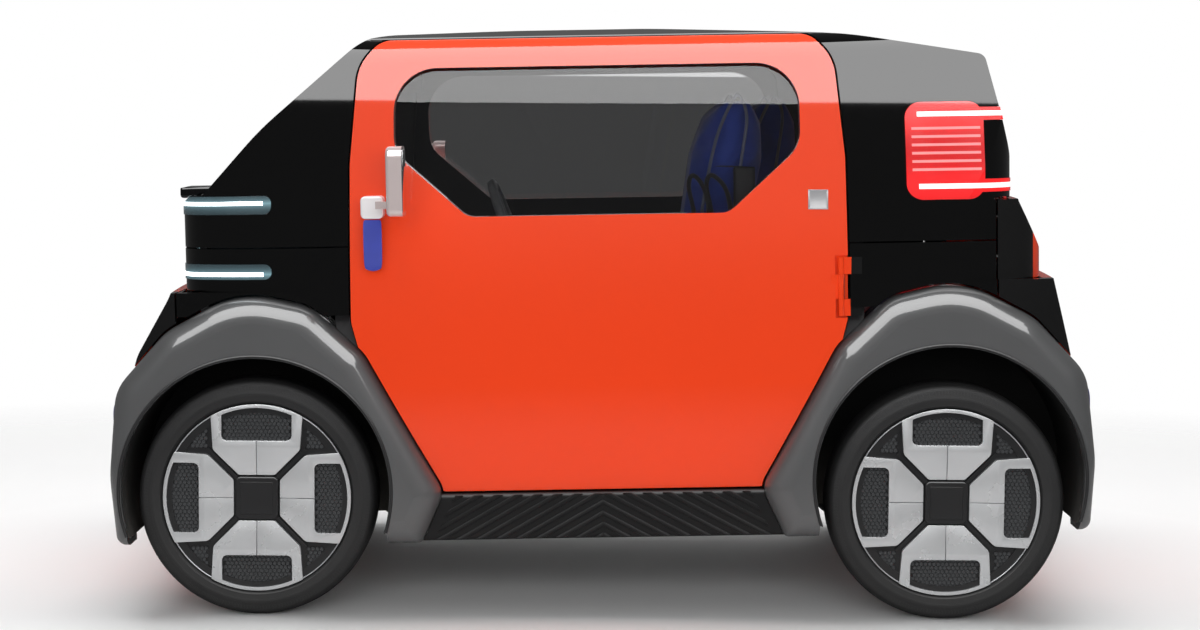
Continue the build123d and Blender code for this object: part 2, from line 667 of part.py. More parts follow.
def make_door_glass():
    """Left door glass, edge to edge in the window opening."""
    outline = offset_outline(window_outline(), SEAT_GAP)
    return shell(GLASS_INSET, GLASS_INSET + 5) & side_prism(outline, 300, HALF_WIDTH)


def make_door_handle():
    """Left door's pull: a rounded square block and the fabric loop that hangs from it."""
    half = HANDLE_SIZE / 2
    square = [(HANDLE_X - half, HANDLE_Z - half, 12), (HANDLE_X + half, HANDLE_Z - half, 12),
              (HANDLE_X + half, HANDLE_Z + half, 12), (HANDLE_X - half, HANDLE_Z + half, 12)]
    knob = side_prism(square, HANDLE_Y - 80, HANDLE_Y)
    knob = fillet(knob.faces().sort_by(Axis.Y)[-1].edges(), 6) - hull(-SEAT_GAP)
    strap_half = STRAP_WIDTH / 2
    strap_top = HANDLE_Z - half - SEAT_GAP
    strap_end = strap_top - STRAP_LENGTH
    outline = [(HANDLE_X - strap_half, strap_end, 24), (HANDLE_X + strap_half, strap_end, 24),
               (HANDLE_X + strap_half, strap_top, 0), (HANDLE_X - strap_half, strap_top, 0)]
    strap = side_prism(outline, HANDLE_Y - 14, HANDLE_Y - 4)
    return [knob, strap]


def mirror_head():
    """Left mirror head and the stub that holds it, ahead of the window."""
    head = front_prism([(HANDLE_Y + 8, 1026, 20), (HANDLE_Y + 126, 1026, 20),
                        (HANDLE_Y + 126, 1196, 30), (HANDLE_Y + 8, 1196, 30)], 472, 511)
    return fillet(head.faces().sort_by(Axis.X)[-1].edges(), 10)


def make_left_mirror():
    """Left mirror, carried by the handle block at the front of the door."""
    stub = cylinder_y(9, 530 + 6, 1052, HANDLE_Y + SEAT_GAP, HANDLE_Y + 40)
    arm = block(505, 545, HANDLE_Y + 22, HANDLE_Y + 40, 1043, 1061)
    return mirror_head() + stub + arm


def make_right_mirror():
    """Right mirror, on its own foot near the hinged edge of the door."""
    arm = block(505, 560, HANDLE_Y + 22, HANDLE_Y + 40, 1043, 1061)
    foot = block(530, 560, BODY_HALF - 60, HANDLE_Y + 40, 1036, 1068)
    return other_side(mirror_head() + arm + (foot - hull(-SEAT_GAP)))


# ---------------------------------------------------------------- cabin
def make_seat(setback):
    """A seat with a flat cushion and a tall leaning back."""
    low = SEAT_BASE + SEAT_GAP
    outline = [
        (160, low + 10, 20), (170, low + 105, 40), (-110, low + 90, 60), (-292, 1170, 200), (-330, 1322, 40),
        (-430, 1322, 40), (-430, 1150, 200), (-262, low + 30, 60), (-240, low, 20), (130, low, 20),
    ]
    outline = [(x - setback, z, radius) for x, z, radius in outline]
    return side_prism(outline, SEAT_Y - SEAT_HALF, SEAT_Y + SEAT_HALF)


def make_seat_frame(setback):
    """Steel stand below one seat: a tray on two full-length feet."""
    tray = block(-240 - setback, 140 - setback, SEAT_Y - SEAT_HALF + 10, SEAT_Y + SEAT_HALF - 10,
                 SEAT_BASE - 12, SEAT_BASE)
    legs = [block(-240 - setback, 140 - setback, y, y + 12, FLOOR_TOP + SEAT_GAP, SEAT_BASE - 6)
            for y in (SEAT_Y - 60, SEAT_Y + SEAT_HALF - 30)]
    return tray + legs[0] + legs[1]


def column_placing():
    """Frame at the steering wheel's centre, its Z axis pointing at the driver."""
    return Pos(*WHEEL_CENTRE) * Rot(0, -(90 - COLUMN_TILT), 0)


def make_steering_wheel():
    """Steering wheel with three spokes, its hub on the column's end."""
    rim = Torus(STEERING_RADIUS - 12, 12)
    hub = Cylinder(34, 30)
    spokes = hub
    for angle in (90, 210, 330):
        spokes = spokes + Rot(0, 0, angle) * Pos(STEERING_RADIUS / 2, 0, 0) * Box(STEERING_RADIUS - 24, 26, 12)
    return column_placing() * (rim + spokes)


def make_dashboard():
    """Dashboard across the cabin with the steering column's shroud."""
    top = 980.0
    outline = [(AXLE_X - 100, 750, 30), (AXLE_X + 120 - SEAT_GAP, 760, 0), (AXLE_X + 120 - SEAT_GAP, top + 40, 0),
               (AXLE_X - 60, top, 60), (AXLE_X - 215, top - 30, 40), (AXLE_X - 205, top - 190, 40)]
    body = side_prism(outline, -BODY_HALF + 160, BODY_HALF - 160)
    column = column_placing() * Pos(0, 0, -15 - SEAT_GAP - 220) * Cylinder(28, 440)
    return body + column


def make_battery():
    """Battery pack, a plain block on the floor below the seats."""
    return block(-430, 60, -SEAT_Y + 75, SEAT_Y - 75, FLOOR_TOP + SEAT_GAP, SEAT_BASE - 30)


# ---------------------------------------------------------------- running gear, drawn upright
def make_tyre(x, side):
    """Tyre with rounded shoulders on its bead seats."""
    inner = RIM_RADIUS + BEAD_GAP
    half = TYRE_WIDTH / 2
    lip = COVER_RADIUS + BEAD_GAP
    flank = [(inner, -half + 14, 0), (lip, -half + 14, 0), (lip + 6, -half + 2, 4), (inner + 34, -half, 10),
             (TYRE_RADIUS - 8, -half + 6, 18), (TYRE_RADIUS, -half + 34, 60)]
    ring = flank + [(u, -v, radius) for u, v, radius in reversed(flank)]
    tyre = revolve(Plane.XY * outline_face(ring), axis=Axis.Y)
    return Pos(x, side * TRACK_HALF, AXLE_Z) * tyre


def make_wheel(x, side):
    """Wheel: barrel, rim lip, disc with hub, square cap and four narrow spokes between the blades."""
    half = TYRE_WIDTH / 2
    inside = RIM_RADIUS - RIM_WALL
    barrel = cylinder_y(RIM_RADIUS, 0, 0, -half + 14, half - 13) - cylinder_y(inside, 0, 0, -half, half)
    lip = cylinder_y(COVER_RADIUS, 0, 0, half - 13.7, half - LIP_FACE) - cylinder_y(inside, 0, 0, 0, half)
    disc = cylinder_y(RIM_RADIUS - 4, 0, 0, half - DISC_FACE - 10, half - DISC_FACE)
    hub = cylinder_y(HUB_RADIUS, 0, 0, -12, half - DISC_FACE - 4)
    square = mirrored_outline([(CAP_HALF, -CAP_HALF, 14), (CAP_HALF, CAP_HALF, 14)])
    cap = side_prism(square, half - DISC_FACE - 1, half - 2)
    cap = fillet(cap.faces().sort_by(Axis.Y)[-1].edges(), 5)
    wheel = barrel + lip + disc + hub + cap
    spoke = block(CAP_HALF, 175, half - DISC_FACE - 1, half - 9, -4, 4)
    for quarter in range(4):
        wheel = wheel + Rot(0, 90 * quarter + 45, 0) * spoke
    wheel = wheel - cylinder_y(STUB_RADIUS + SEAT_GAP, 0, 0, -half, half - STUB_STOP + 1)
    if side < 0:
        wheel = other_side(wheel)
    return Pos(x, side * TRACK_HALF, AXLE_Z) * wheel


def make_blade():
    """Upper blade of a left wheel: a frame round a window, creased above two plates that dip to the cap."""
    half = TYRE_WIDTH / 2
    seat = half - DISC_FACE + SEAT_GAP
    crease = half + BLADE_PROUD
    outline = mirrored_outline([(CAP_HALF - 9, CAP_HALF + 4, 10), (109, 122, 18), (118, 250, 0)])
    profile = [(seat, 0, 0), (crease - 12, 0, 0), (crease - 2.5, 92, 150), (crease, BLADE_CREASE, 3),
               (crease - 7, COVER_RADIUS, 0), (seat, COVER_RADIUS, 0)]
    blade = side_prism(outline, seat, crease) & front_prism(profile, -COVER_RADIUS, COVER_RADIUS)
    blade = blade & cylinder_y(COVER_RADIUS, 0, 0, seat, crease)
    window = mirrored_outline([(88, BLADE_CREASE + 15, 14), (88, COVER_RADIUS, 0)])
    window = side_prism(window, seat - 1, crease + 1)
    window = window & cylinder_y(COVER_RADIUS - BLADE_BAND, 0, 0, seat - 1, crease + 1)
    split = block(-1, 1, crease - 11, crease + 1, CAP_HALF, BLADE_CREASE + 16)
    rim = cylinder_y(COVER_RADIUS + 1, 0, 0, seat - 1, half - LIP_FACE + SEAT_GAP)
    rim = rim - cylinder_y(RIM_RADIUS - RIM_WALL - SEAT_GAP, 0, 0, seat - 1, crease)
    return blade - window - split - rim


def make_blades(blade, x, side):
    """The four blades of one wheel's cover."""
    blades = [Rot(0, 90 * quarter, 0) * blade for quarter in range(4)]
    if side < 0:
        blades = [other_side(piece) for piece in blades]
    return [Pos(x, side * TRACK_HALF, AXLE_Z) * piece for piece in blades]


def make_front_axle():
    """Front beam with a forked yoke at each end, trailing arms and the track rod's guide."""
    low, high = AXLE_Z - BEAM_HALF, AXLE_Z + BEAM_HALF
    beam = block(AXLE_X - 30, AXLE_X + 30, -(KINGPIN_Y - 40), KINGPIN_Y - 40, low, high)
    web = block(AXLE_X - 24, AXLE_X + 24, KINGPIN_Y - 62, KINGPIN_Y - 40, AXLE_Z - YOKE_HALF, AXLE_Z + YOKE_HALF)
    lugs = [block(AXLE_X - 24, AXLE_X + 24, KINGPIN_Y - 62, KINGPIN_Y + 20, low, low + LUG)
            for low in (AXLE_Z - YOKE_HALF, AXLE_Z + YOKE_HALF - LUG)]
    pin = cylinder_z(KINGPIN_RADIUS, AXLE_X, KINGPIN_Y, AXLE_Z - YOKE_HALF, AXLE_Z + YOKE_HALF)
    yoke = web + lugs[0] + lugs[1] + pin
    arm = side_prism([(AXLE_X - 240, 190, 10), (AXLE_X - 20, low, 0), (AXLE_X - 20, high, 0),
                      (AXLE_X - 180, 420, 0), (AXLE_X - 240, 420, 0)], 300, 350)
    arm = arm & (TIP * under_floor())
    guide = block(AXLE_X - 10, AXLE_X + ARM_REACH + 22, -70, 70, AXLE_Z - 62, AXLE_Z - 8)
    guide = guide - cylinder_y(ROD_RADIUS + SEAT_GAP, AXLE_X + ARM_REACH, ROD_Z, -80, 80)
    whole = beam + yoke + other_side(yoke) + arm + other_side(arm) + guide
    return whole


def make_knuckle():
    """Left steering knuckle on its kingpin: block, stub axle and forward steering arm."""
    low = AXLE_Z - YOKE_HALF + LUG + SEAT_GAP
    high = AXLE_Z + YOKE_HALF - LUG - SEAT_GAP
    body = block(AXLE_X - 22, AXLE_X + 22, KINGPIN_Y - 20, KINGPIN_Y + 24, low, high)
    stub = cylinder_y(STUB_RADIUS, AXLE_X, AXLE_Z, KINGPIN_Y + 20, TRACK_HALF + TYRE_WIDTH / 2 - STUB_STOP)
    arm_low = ROD_Z + ROD_RADIUS + SEAT_GAP
    arm = block(AXLE_X, AXLE_X + ARM_REACH, KINGPIN_Y - 16, KINGPIN_Y + 16, arm_low, arm_low + 16)
    eye = cylinder_z(20, AXLE_X + ARM_REACH, KINGPIN_Y, arm_low, arm_low + 16)
    bore = cylinder_z(KINGPIN_RADIUS + SEAT_GAP, AXLE_X, KINGPIN_Y, low - 1, high + 1)
    return body + stub + arm + eye - bore


def make_track_rod():
    """Track rod below the two steering arms."""
    return cylinder_y(ROD_RADIUS, AXLE_X + ARM_REACH, ROD_Z, -KINGPIN_Y - 12, KINGPIN_Y + 12)


def make_rear_axle():
    """Rear beam with stub axles and arms to the rear bulkhead."""
    low, high = AXLE_Z - BEAM_HALF, AXLE_Z + BEAM_HALF
    beam = block(-AXLE_X - 30, -AXLE_X + 30, -TRACK_HALF + 30, TRACK_HALF - 30, low, high)
    reach = TRACK_HALF + TYRE_WIDTH / 2 - STUB_STOP
    stub = cylinder_y(STUB_RADIUS, -AXLE_X, AXLE_Z, -reach, reach)
    arm = side_prism([(-AXLE_X + 20, low, 0), (-AXLE_X + 420, low - 20, 0), (-AXLE_X + 420, high - 12, 0),
                      (-AXLE_X + 20, high, 0)], 300, 350)
    arm = arm & (TIP * under_floor())
    return beam + stub + arm + other_side(arm)


def make_strut(x):
    """Left coil and damper unit between an axle beam and the body above it."""
    foot = AXLE_Z + BEAM_HALF + SEAT_GAP
    strut = cylinder_z(14, x, STRUT_Y, foot, 760) + cylinder_z(26, x, STRUT_Y, foot + 40, foot + 240)
    return strut & (TIP * under_floor())


def make_motor():
    """Drive motor and gearbox, a plain block behind the rear bulkhead."""
    motor = block(-AXLE_X + 60, -AXLE_X + 420, -150, 150, AXLE_Z - 60, AXLE_Z + 170)
    return motor & (TIP * under_floor())


def build():
    """Write every sub-part."""
    os.makedirs("parts", exist_ok=True)

    save("floor_pan", make_floor_pan())
    save("cab_frame", make_cab_frame())
    save("sills", pair(make_sill()))
    fender = make_fender()
    save("front_fenders", pair(fender))
    save("rear_fenders", pair(other_end(fender)))
    liner = make_wheel_liner()
    save("front_liners", pair(liner))
    save("rear_liners", pair(other_end(liner)))

    half_turn = Rot(0, 0, 180)
    hinge = make_door_hinge()
    save("roof_panel", make_roof_panel())
    save("windshield", make_windshield())
    save("rear_window", make_rear_window())
    save("front_fascia", make_front_fascia())
    save("front_panel", make_front_panel())
    save("rear_panel", make_rear_panel())
    pad = make_bumper_pad()
    save("bumper_pads", pair(pad) + pair(other_end(pad)))
    corner = make_front_corner()
    save("front_corners", [corner, other_side(corner) - half_turn * hinge])
    corner = make_rear_corner()
    save("rear_corners", [corner - hinge, other_side(corner)])
    lamp = shell(-2, SKIN) & headlight_zone(0)
    save("headlights", pair(lamp))
    tail_lamp = shell(-2, SKIN) & tail_light_zone(0)
    save("tail_lights", pair(tail_lamp))

    door = make_door()
    glass = make_door_glass()
    handle = make_door_handle()
    save("door_left", door)
    save("door_right", half_turn * door)
    save("door_glass_left", glass)
    save("door_glass_right", half_turn * glass)
    save("door_handle_left", handle)
    save("door_handle_right", [half_turn * piece for piece in handle])
    save("door_mirror_left", make_left_mirror())
    save("door_mirror_right", make_right_mirror())
    save("door_hinges", [hinge, half_turn * hinge])

    save("dashboard", make_dashboard())
    save("steering_wheel", make_steering_wheel())
    save("seats", [make_seat(0), other_side(make_seat(SEAT_SETBACK))])
    save("seat_frames", [make_seat_frame(0), other_side(make_seat_frame(SEAT_SETBACK))])
    save("battery_pack", make_battery())

    save("front_axle", make_front_axle(), tipped=False)
    save("rear_axle", make_rear_axle(), tipped=False)
    save("struts", pair(make_strut(AXLE_X)) + pair(make_strut(-AXLE_X)), tipped=False)
    save("drive_motor", make_motor(), tipped=False)
    knuckle = make_knuckle()
    save("knuckle_left", knuckle, tipped=False)
    save("knuckle_right", other_side(knuckle), tipped=False)
    save("track_rod", make_track_rod(), tipped=False)
    blade = make_blade()
    for end, x in (("front", AXLE_X), ("rear", -AXLE_X)):
        for side, sign in (("left", 1), ("right", -1)):
            save(f"tyre_{end}_{side}", make_tyre(x, sign), tipped=False)
            save(f"wheel_{end}_{side}", make_wheel(x, sign), tipped=False)
            save(f"blades_{end}_{side}", make_blades(blade, x, sign), tipped=False)


if __name__ == "__main__":
    build()
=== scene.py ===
"""Looks of a two-seat electric microcar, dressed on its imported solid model. Metres, +X forwards, +Y left, +Z up."""

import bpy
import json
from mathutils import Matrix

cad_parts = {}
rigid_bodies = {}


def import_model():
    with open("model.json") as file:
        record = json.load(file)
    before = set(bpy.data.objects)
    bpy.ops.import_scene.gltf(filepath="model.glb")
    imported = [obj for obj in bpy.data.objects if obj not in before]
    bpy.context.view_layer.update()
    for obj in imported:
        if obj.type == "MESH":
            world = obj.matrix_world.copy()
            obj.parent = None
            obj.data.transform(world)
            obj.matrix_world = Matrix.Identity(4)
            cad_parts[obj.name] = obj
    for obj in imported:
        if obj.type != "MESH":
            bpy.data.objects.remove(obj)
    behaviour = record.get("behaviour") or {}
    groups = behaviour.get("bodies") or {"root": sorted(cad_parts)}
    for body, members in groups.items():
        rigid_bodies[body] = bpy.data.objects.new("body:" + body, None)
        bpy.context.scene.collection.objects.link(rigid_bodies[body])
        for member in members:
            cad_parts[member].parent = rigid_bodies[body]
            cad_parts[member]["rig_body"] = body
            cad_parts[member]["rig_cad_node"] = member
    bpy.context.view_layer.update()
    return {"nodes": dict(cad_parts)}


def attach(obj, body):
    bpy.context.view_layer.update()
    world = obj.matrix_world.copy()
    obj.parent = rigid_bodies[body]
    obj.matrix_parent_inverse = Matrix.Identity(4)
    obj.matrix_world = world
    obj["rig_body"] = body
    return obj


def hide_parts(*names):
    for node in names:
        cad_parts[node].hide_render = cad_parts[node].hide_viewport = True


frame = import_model()

import json
import logging
import math
from dataclasses import dataclass
from enum import Enum
from typing import Callable, Optional, Sequence

import bpy
from mathutils import Matrix, Vector
from mathutils.bvhtree import BVHTree

logging.basicConfig(level=logging.INFO, format="%(name)s: %(message)s")
LOG = logging.getLogger("microcar")

Point = tuple[float, float, float]
Colour = tuple[float, float, float]

DUST_TOP = 0.42
DUST_RATE = 2.2
DUST_COLOUR = (0.36, 0.33, 0.29)
RAKE = math.radians(1.36)
RAKE_PIVOT = 0.447
TIP = (Matrix.Translation((0, 0, RAKE_PIVOT)) @ Matrix.Rotation(RAKE, 4, "Y")
       @ Matrix.Translation((0, 0, -RAKE_PIVOT)))


class Side(Enum):
    """Which side of the car a piece is on, as the sign of its Y."""

    LEFT = 1
    RIGHT = -1


class End(Enum):
    """Which end of the car a piece is at, as the sign of its X."""

    FRONT = 1
    REAR = -1


class Lit(Enum):
    """What a studio light feeds: the matt light on a surface, or its reflections."""

    MATT = 0
    GLOSS = 1


class Axis(Enum):
    """What a two-tone paint is divided along."""

    HALF_WIDTH = 0
    LENGTH = 1


# ---------------------------------------------------------------- mesh workshop
def only(piece: bpy.types.Object) -> None:
    """Deselect everything, then select this piece and make it active."""
    if bpy.context.object is not None and bpy.context.object.mode != "OBJECT":
        bpy.ops.object.mode_set(mode="OBJECT")
    bpy.ops.object.select_all(action="DESELECT")
    piece.select_set(True)
    bpy.context.view_layer.objects.active = piece


def apply_place(piece: bpy.types.Object) -> None:
    """Move a piece's place, turn and size into its mesh."""
    only(piece)
    bpy.ops.object.transform_apply(location=True, rotation=True, scale=True)


def pick_faces(piece: bpy.types.Object, wanted: Callable[[Vector, Vector], bool]) -> int:
    """Enter edit mode with only some faces selected.

    Args:
        piece: the mesh, its place already in its vertices.
        wanted: says from a face's centre and normal whether it is selected.

    Returns:
        How many faces are selected.
    """
    only(piece)
    bpy.ops.object.mode_set(mode="EDIT")
    bpy.ops.mesh.select_mode(type="FACE")
    bpy.ops.mesh.select_all(action="DESELECT")
    bpy.ops.object.mode_set(mode="OBJECT")
    count = 0
    for face in piece.data.polygons:
        face.select = wanted(face.center, face.normal)
        count += face.select
    bpy.ops.object.mode_set(mode="EDIT")
    return count


def leave_edit() -> None:
    """Go back to object mode."""
    bpy.ops.object.mode_set(mode="OBJECT")


def keep_faces(piece: bpy.types.Object, wanted: Callable[[Vector, Vector], bool]) -> None:
    """Delete every face that wanted refuses."""
    pick_faces(piece, lambda centre, normal: not wanted(centre, normal))
    bpy.ops.mesh.delete(type="FACE")
    leave_edit()


def cut_away(piece: bpy.types.Object, point: Sequence[float], normal: Sequence[float], fill: bool = True) -> None:
    """Cut a mesh with a plane and drop what lies on the side the normal points to.

    Args:
        piece: the mesh to cut.
        point: a point on the plane.
        normal: points at what is dropped.
        fill: whether the cut is closed with a face.
    """
    only(piece)
    bpy.ops.object.mode_set(mode="EDIT")
    bpy.ops.mesh.select_all(action="SELECT")
    bpy.ops.mesh.bisect(plane_co=point, plane_no=normal, clear_outer=True, use_fill=fill, threshold=1e-6)
    bpy.ops.object.mode_set(mode="OBJECT")


def outwards(piece: bpy.types.Object) -> None:
    """Merge doubles and turn every face outwards."""
    only(piece)
    bpy.ops.object.mode_set(mode="EDIT")
    bpy.ops.mesh.select_all(action="SELECT")
    bpy.ops.mesh.remove_doubles(threshold=2e-5)
    bpy.ops.mesh.normals_make_consistent(inside=False)
    bpy.ops.object.mode_set(mode="OBJECT")


def finish_with(piece: bpy.types.Object, kind: str, **settings: object) -> None:
    """Add one modifier with its settings and apply it."""
    only(piece)
    modifier = piece.modifiers.new(kind.title(), kind)
    for name, value in settings.items():
        setattr(modifier, name, value)
    bpy.ops.object.modifier_apply(modifier=modifier.name)


def smooth(piece: bpy.types.Object, angle: float = 35.0) -> None:
    """Shade a piece smooth, with edges sharper than angle (degrees) kept crisp."""
    only(piece)
    bpy.ops.object.shade_smooth_by_angle(angle=math.radians(angle))


def rounded_block(name: str, low: Point, high: Point, radius: float, segments: int = 3) -> bpy.types.Object:
    """A block between two corners with every edge rounded.

    Args:
        name: the piece's name.
        low: its lowest corner.
        high: its highest corner.
        radius: of its edges.
        segments: across each rounding.

    Returns:
        The new piece, its place in its mesh.
    """
    size = [b - a for a, b in zip(low, high)]
    centre = [(a + b) / 2 for a, b in zip(low, high)]
    bpy.ops.object.select_all(action="DESELECT")
    bpy.ops.mesh.primitive_cube_add(size=1, location=centre)
    piece = bpy.context.object
    piece.name = name
    piece.scale = size
    apply_place(piece)
    bpy.ops.object.mode_set(mode="EDIT")
    bpy.ops.mesh.select_all(action="SELECT")
    bpy.ops.mesh.bevel(offset=radius, segments=segments, profile=0.5)
    bpy.ops.object.mode_set(mode="OBJECT")
    smooth(piece, 40)
    return piece


def tube(name: str, points: Sequence[Point], radius: float, closed: bool = False) -> bpy.types.Object:
    """A round bar along a smooth line, as a mesh.

    Args:
        name: the piece's name.
        points: what the line runs near.
        radius: of the bar.
        closed: whether the line returns to its start.

    Returns:
        The new piece.
    """
    bpy.ops.object.select_all(action="DESELECT")
    bpy.ops.curve.primitive_nurbs_path_add(location=(0, 0, 0))
    line = bpy.context.object
    line.data.splines.clear()
    spline = line.data.splines.new("NURBS")
    spline.points.add(len(points) - 1)
    for knot, place in zip(spline.points, points):
        knot.co = (*place, 1.0)
    spline.order_u = 3
    spline.use_endpoint_u = not closed
    spline.use_cyclic_u = closed
    spline.resolution_u = 6
    line.data.bevel_depth = radius
    line.data.bevel_resolution = 3
    line.data.use_fill_caps = True
    only(line)
    bpy.ops.object.convert(target="MESH")
    piece = bpy.context.object
    piece.name = name
    outwards(piece)
    smooth(piece, 60)
    return piece


def copied(source: bpy.types.Object, name: str, matrix: Optional[Matrix] = None) -> bpy.types.Object:
    """A copy of a piece with its own mesh, moved by a matrix if one is given."""
    only(source)
    bpy.ops.object.duplicate()
    piece = bpy.context.object
    piece.name = name
    piece.parent = None
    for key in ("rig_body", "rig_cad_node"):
        if key in piece:
            del piece[key]
    if matrix is not None:
        piece.data.transform(matrix)
        if matrix.determinant() < 0:
            piece.data.flip_normals()
    return piece


def node_copy(node: str, name: str) -> bpy.types.Object:
    """A merged copy of a solid's mesh, ready to be cut or bevelled."""
    piece = copied(frame["nodes"][node], name)
    only(piece)
    bpy.ops.mesh.customdata_custom_splitnormals_clear()
    bpy.ops.object.mode_set(mode="EDIT")
    bpy.ops.mesh.select_all(action="SELECT")
    bpy.ops.mesh.remove_doubles(threshold=1e-5)
    bpy.ops.object.mode_set(mode="OBJECT")
    return piece


def joined(pieces: Sequence[bpy.types.Object], name: str) -> bpy.types.Object:
    """Join pieces into one mesh under a name."""
    only(pieces[0])
    for piece in pieces[1:]:
        piece.select_set(True)
    if len(pieces) > 1:
        bpy.ops.object.join()
    piece = bpy.context.object
    piece.name = name
    return piece


def skin_hit(node: str, start: Point, direction: Point) -> Optional[Vector]:
    """Where a straight line first meets a solid's skin.

    Args:
        node: the solid's name.
        start: where the line begins.
        direction: which way it runs.

    Returns:
        The meeting point, or None.
    """
    mesh = frame["nodes"][node].data
    tree = BVHTree.FromPolygons([v.co for v in mesh.vertices], [tuple(f.vertices) for f in mesh.polygons])
    return tree.ray_cast(Vector(start), Vector(direction).normalized())[0]


# ---------------------------------------------------------------- shared shader effects
def effect_group(name: str, inputs: Sequence[tuple[str, str, object]], outputs: Sequence[tuple[str, str]]
                 ) -> tuple[bpy.types.NodeTree, bpy.types.Node, bpy.types.Node]:
    """Start a shader node group with named sockets.

    Args:
        name: the group's name.
        inputs: each socket's name, type and default.
        outputs: each socket's name and type.

    Returns:
        The group, its input node and its output node.
    """
    group = bpy.data.node_groups.new(name, "ShaderNodeTree")
    for label, kind, value in inputs:
        socket = group.interface.new_socket(name=label, in_out="INPUT", socket_type=kind)
        socket.default_value = value
    for label, kind in outputs:
        group.interface.new_socket(name=label, in_out="OUTPUT", socket_type=kind)
    return group, group.nodes.new("NodeGroupInput"), group.nodes.new("NodeGroupOutput")


def maths(tree: bpy.types.NodeTree, operation: str, *values: object) -> bpy.types.NodeSocket:
    """Add one Math node and return its result; each value is a number or a socket."""
    node = tree.nodes.new("ShaderNodeMath")
    node.operation = operation
    for slot, value in zip(node.inputs, values):
        if isinstance(value, (int, float)):
            slot.default_value = value
        else:
            tree.links.new(value, slot)
    return node.outputs[0]


def noise(tree: bpy.types.NodeTree, scale: object, detail: float = 3.0) -> bpy.types.NodeSocket:
    """Noise on Object coordinates, 0 to 1; scale is a number or a socket."""
    place = tree.nodes.new("ShaderNodeTexCoord")
    node = tree.nodes.new("ShaderNodeTexNoise")
    node.inputs["Detail"].default_value = detail
    tree.links.new(place.outputs["Object"], node.inputs["Vector"])
    if isinstance(scale, (int, float)):
        node.inputs["Scale"].default_value = scale
    else:
        tree.links.new(scale, node.inputs["Scale"])
    return node.outputs["Fac"]


def axes(tree: bpy.types.NodeTree) -> bpy.types.Node:
    """Object coordinates split into X, Y and Z."""
    place = tree.nodes.new("ShaderNodeTexCoord")
    split = tree.nodes.new("ShaderNodeSeparateXYZ")
    tree.links.new(place.outputs["Object"], split.inputs[0])
    return split


def mixed(tree: bpy.types.NodeTree, share: object, first: object, second: object) -> bpy.types.NodeSocket:
    """Mix two colours; each argument is a value or a socket."""
    node = tree.nodes.new("ShaderNodeMix")
    node.data_type = "RGBA"
    for slot, value in ((node.inputs[0], share), (node.inputs[6], first), (node.inputs[7], second)):
        if isinstance(value, bpy.types.NodeSocket):
            tree.links.new(value, slot)
        elif isinstance(value, tuple):
            slot.default_value = (*value, 1.0)
        else:
            slot.default_value = value
    return node.outputs[2]


def surface_group() -> bpy.types.NodeTree:
    """Colour drift, fine grain and uneven gloss, shared by every painted, moulded or cast finish."""
    found = bpy.data.node_groups.get("surface")
    if found:
        return found
    group, given, result = effect_group(
        "surface",
        [("Colour", "NodeSocketColor", (0.5, 0.5, 0.5, 1)), ("Drift", "NodeSocketFloat", 0.1),
         ("Drift Scale", "NodeSocketFloat", 6.0), ("Grain", "NodeSocketFloat", 0.2),
         ("Grain Scale", "NodeSocketFloat", 900.0), ("Roughness", "NodeSocketFloat", 0.4),
         ("Smudge", "NodeSocketFloat", 0.1), ("Dust", "NodeSocketFloat", 0.0)],
        [("Colour", "NodeSocketColor"), ("Roughness", "NodeSocketFloat"), ("Height", "NodeSocketFloat")])
    drift = maths(group, "SUBTRACT", noise(group, given.outputs["Drift Scale"]), 0.5)
    drift = maths(group, "MULTIPLY", drift, given.outputs["Drift"])
    shade = group.nodes.new("ShaderNodeHueSaturation")
    group.links.new(given.outputs["Colour"], shade.inputs["Color"])
    group.links.new(maths(group, "ADD", drift, 1.0), shade.inputs["Value"])
    low = maths(group, "SUBTRACT", DUST_TOP, axes(group).outputs["Z"])
    low = maths(group, "MULTIPLY", maths(group, "MAXIMUM", low, 0.0), DUST_RATE)
    dust = maths(group, "MULTIPLY", maths(group, "MULTIPLY", low, noise(group, 14.0, 6.0)), given.outputs["Dust"])
    group.links.new(mixed(group, dust, shade.outputs[0], DUST_COLOUR), result.inputs["Colour"])
    smudge = maths(group, "SUBTRACT", noise(group, 9.0, 5.0), 0.5)
    gloss = maths(group, "MULTIPLY_ADD", smudge, given.outputs["Smudge"], given.outputs["Roughness"])
    group.links.new(maths(group, "ADD", gloss, maths(group, "MULTIPLY", dust, 0.5)), result.inputs["Roughness"])
    height = maths(group, "MULTIPLY", noise(group, given.outputs["Grain Scale"], 2.0), given.outputs["Grain"])
    group.links.new(height, result.inputs["Height"])
    return group


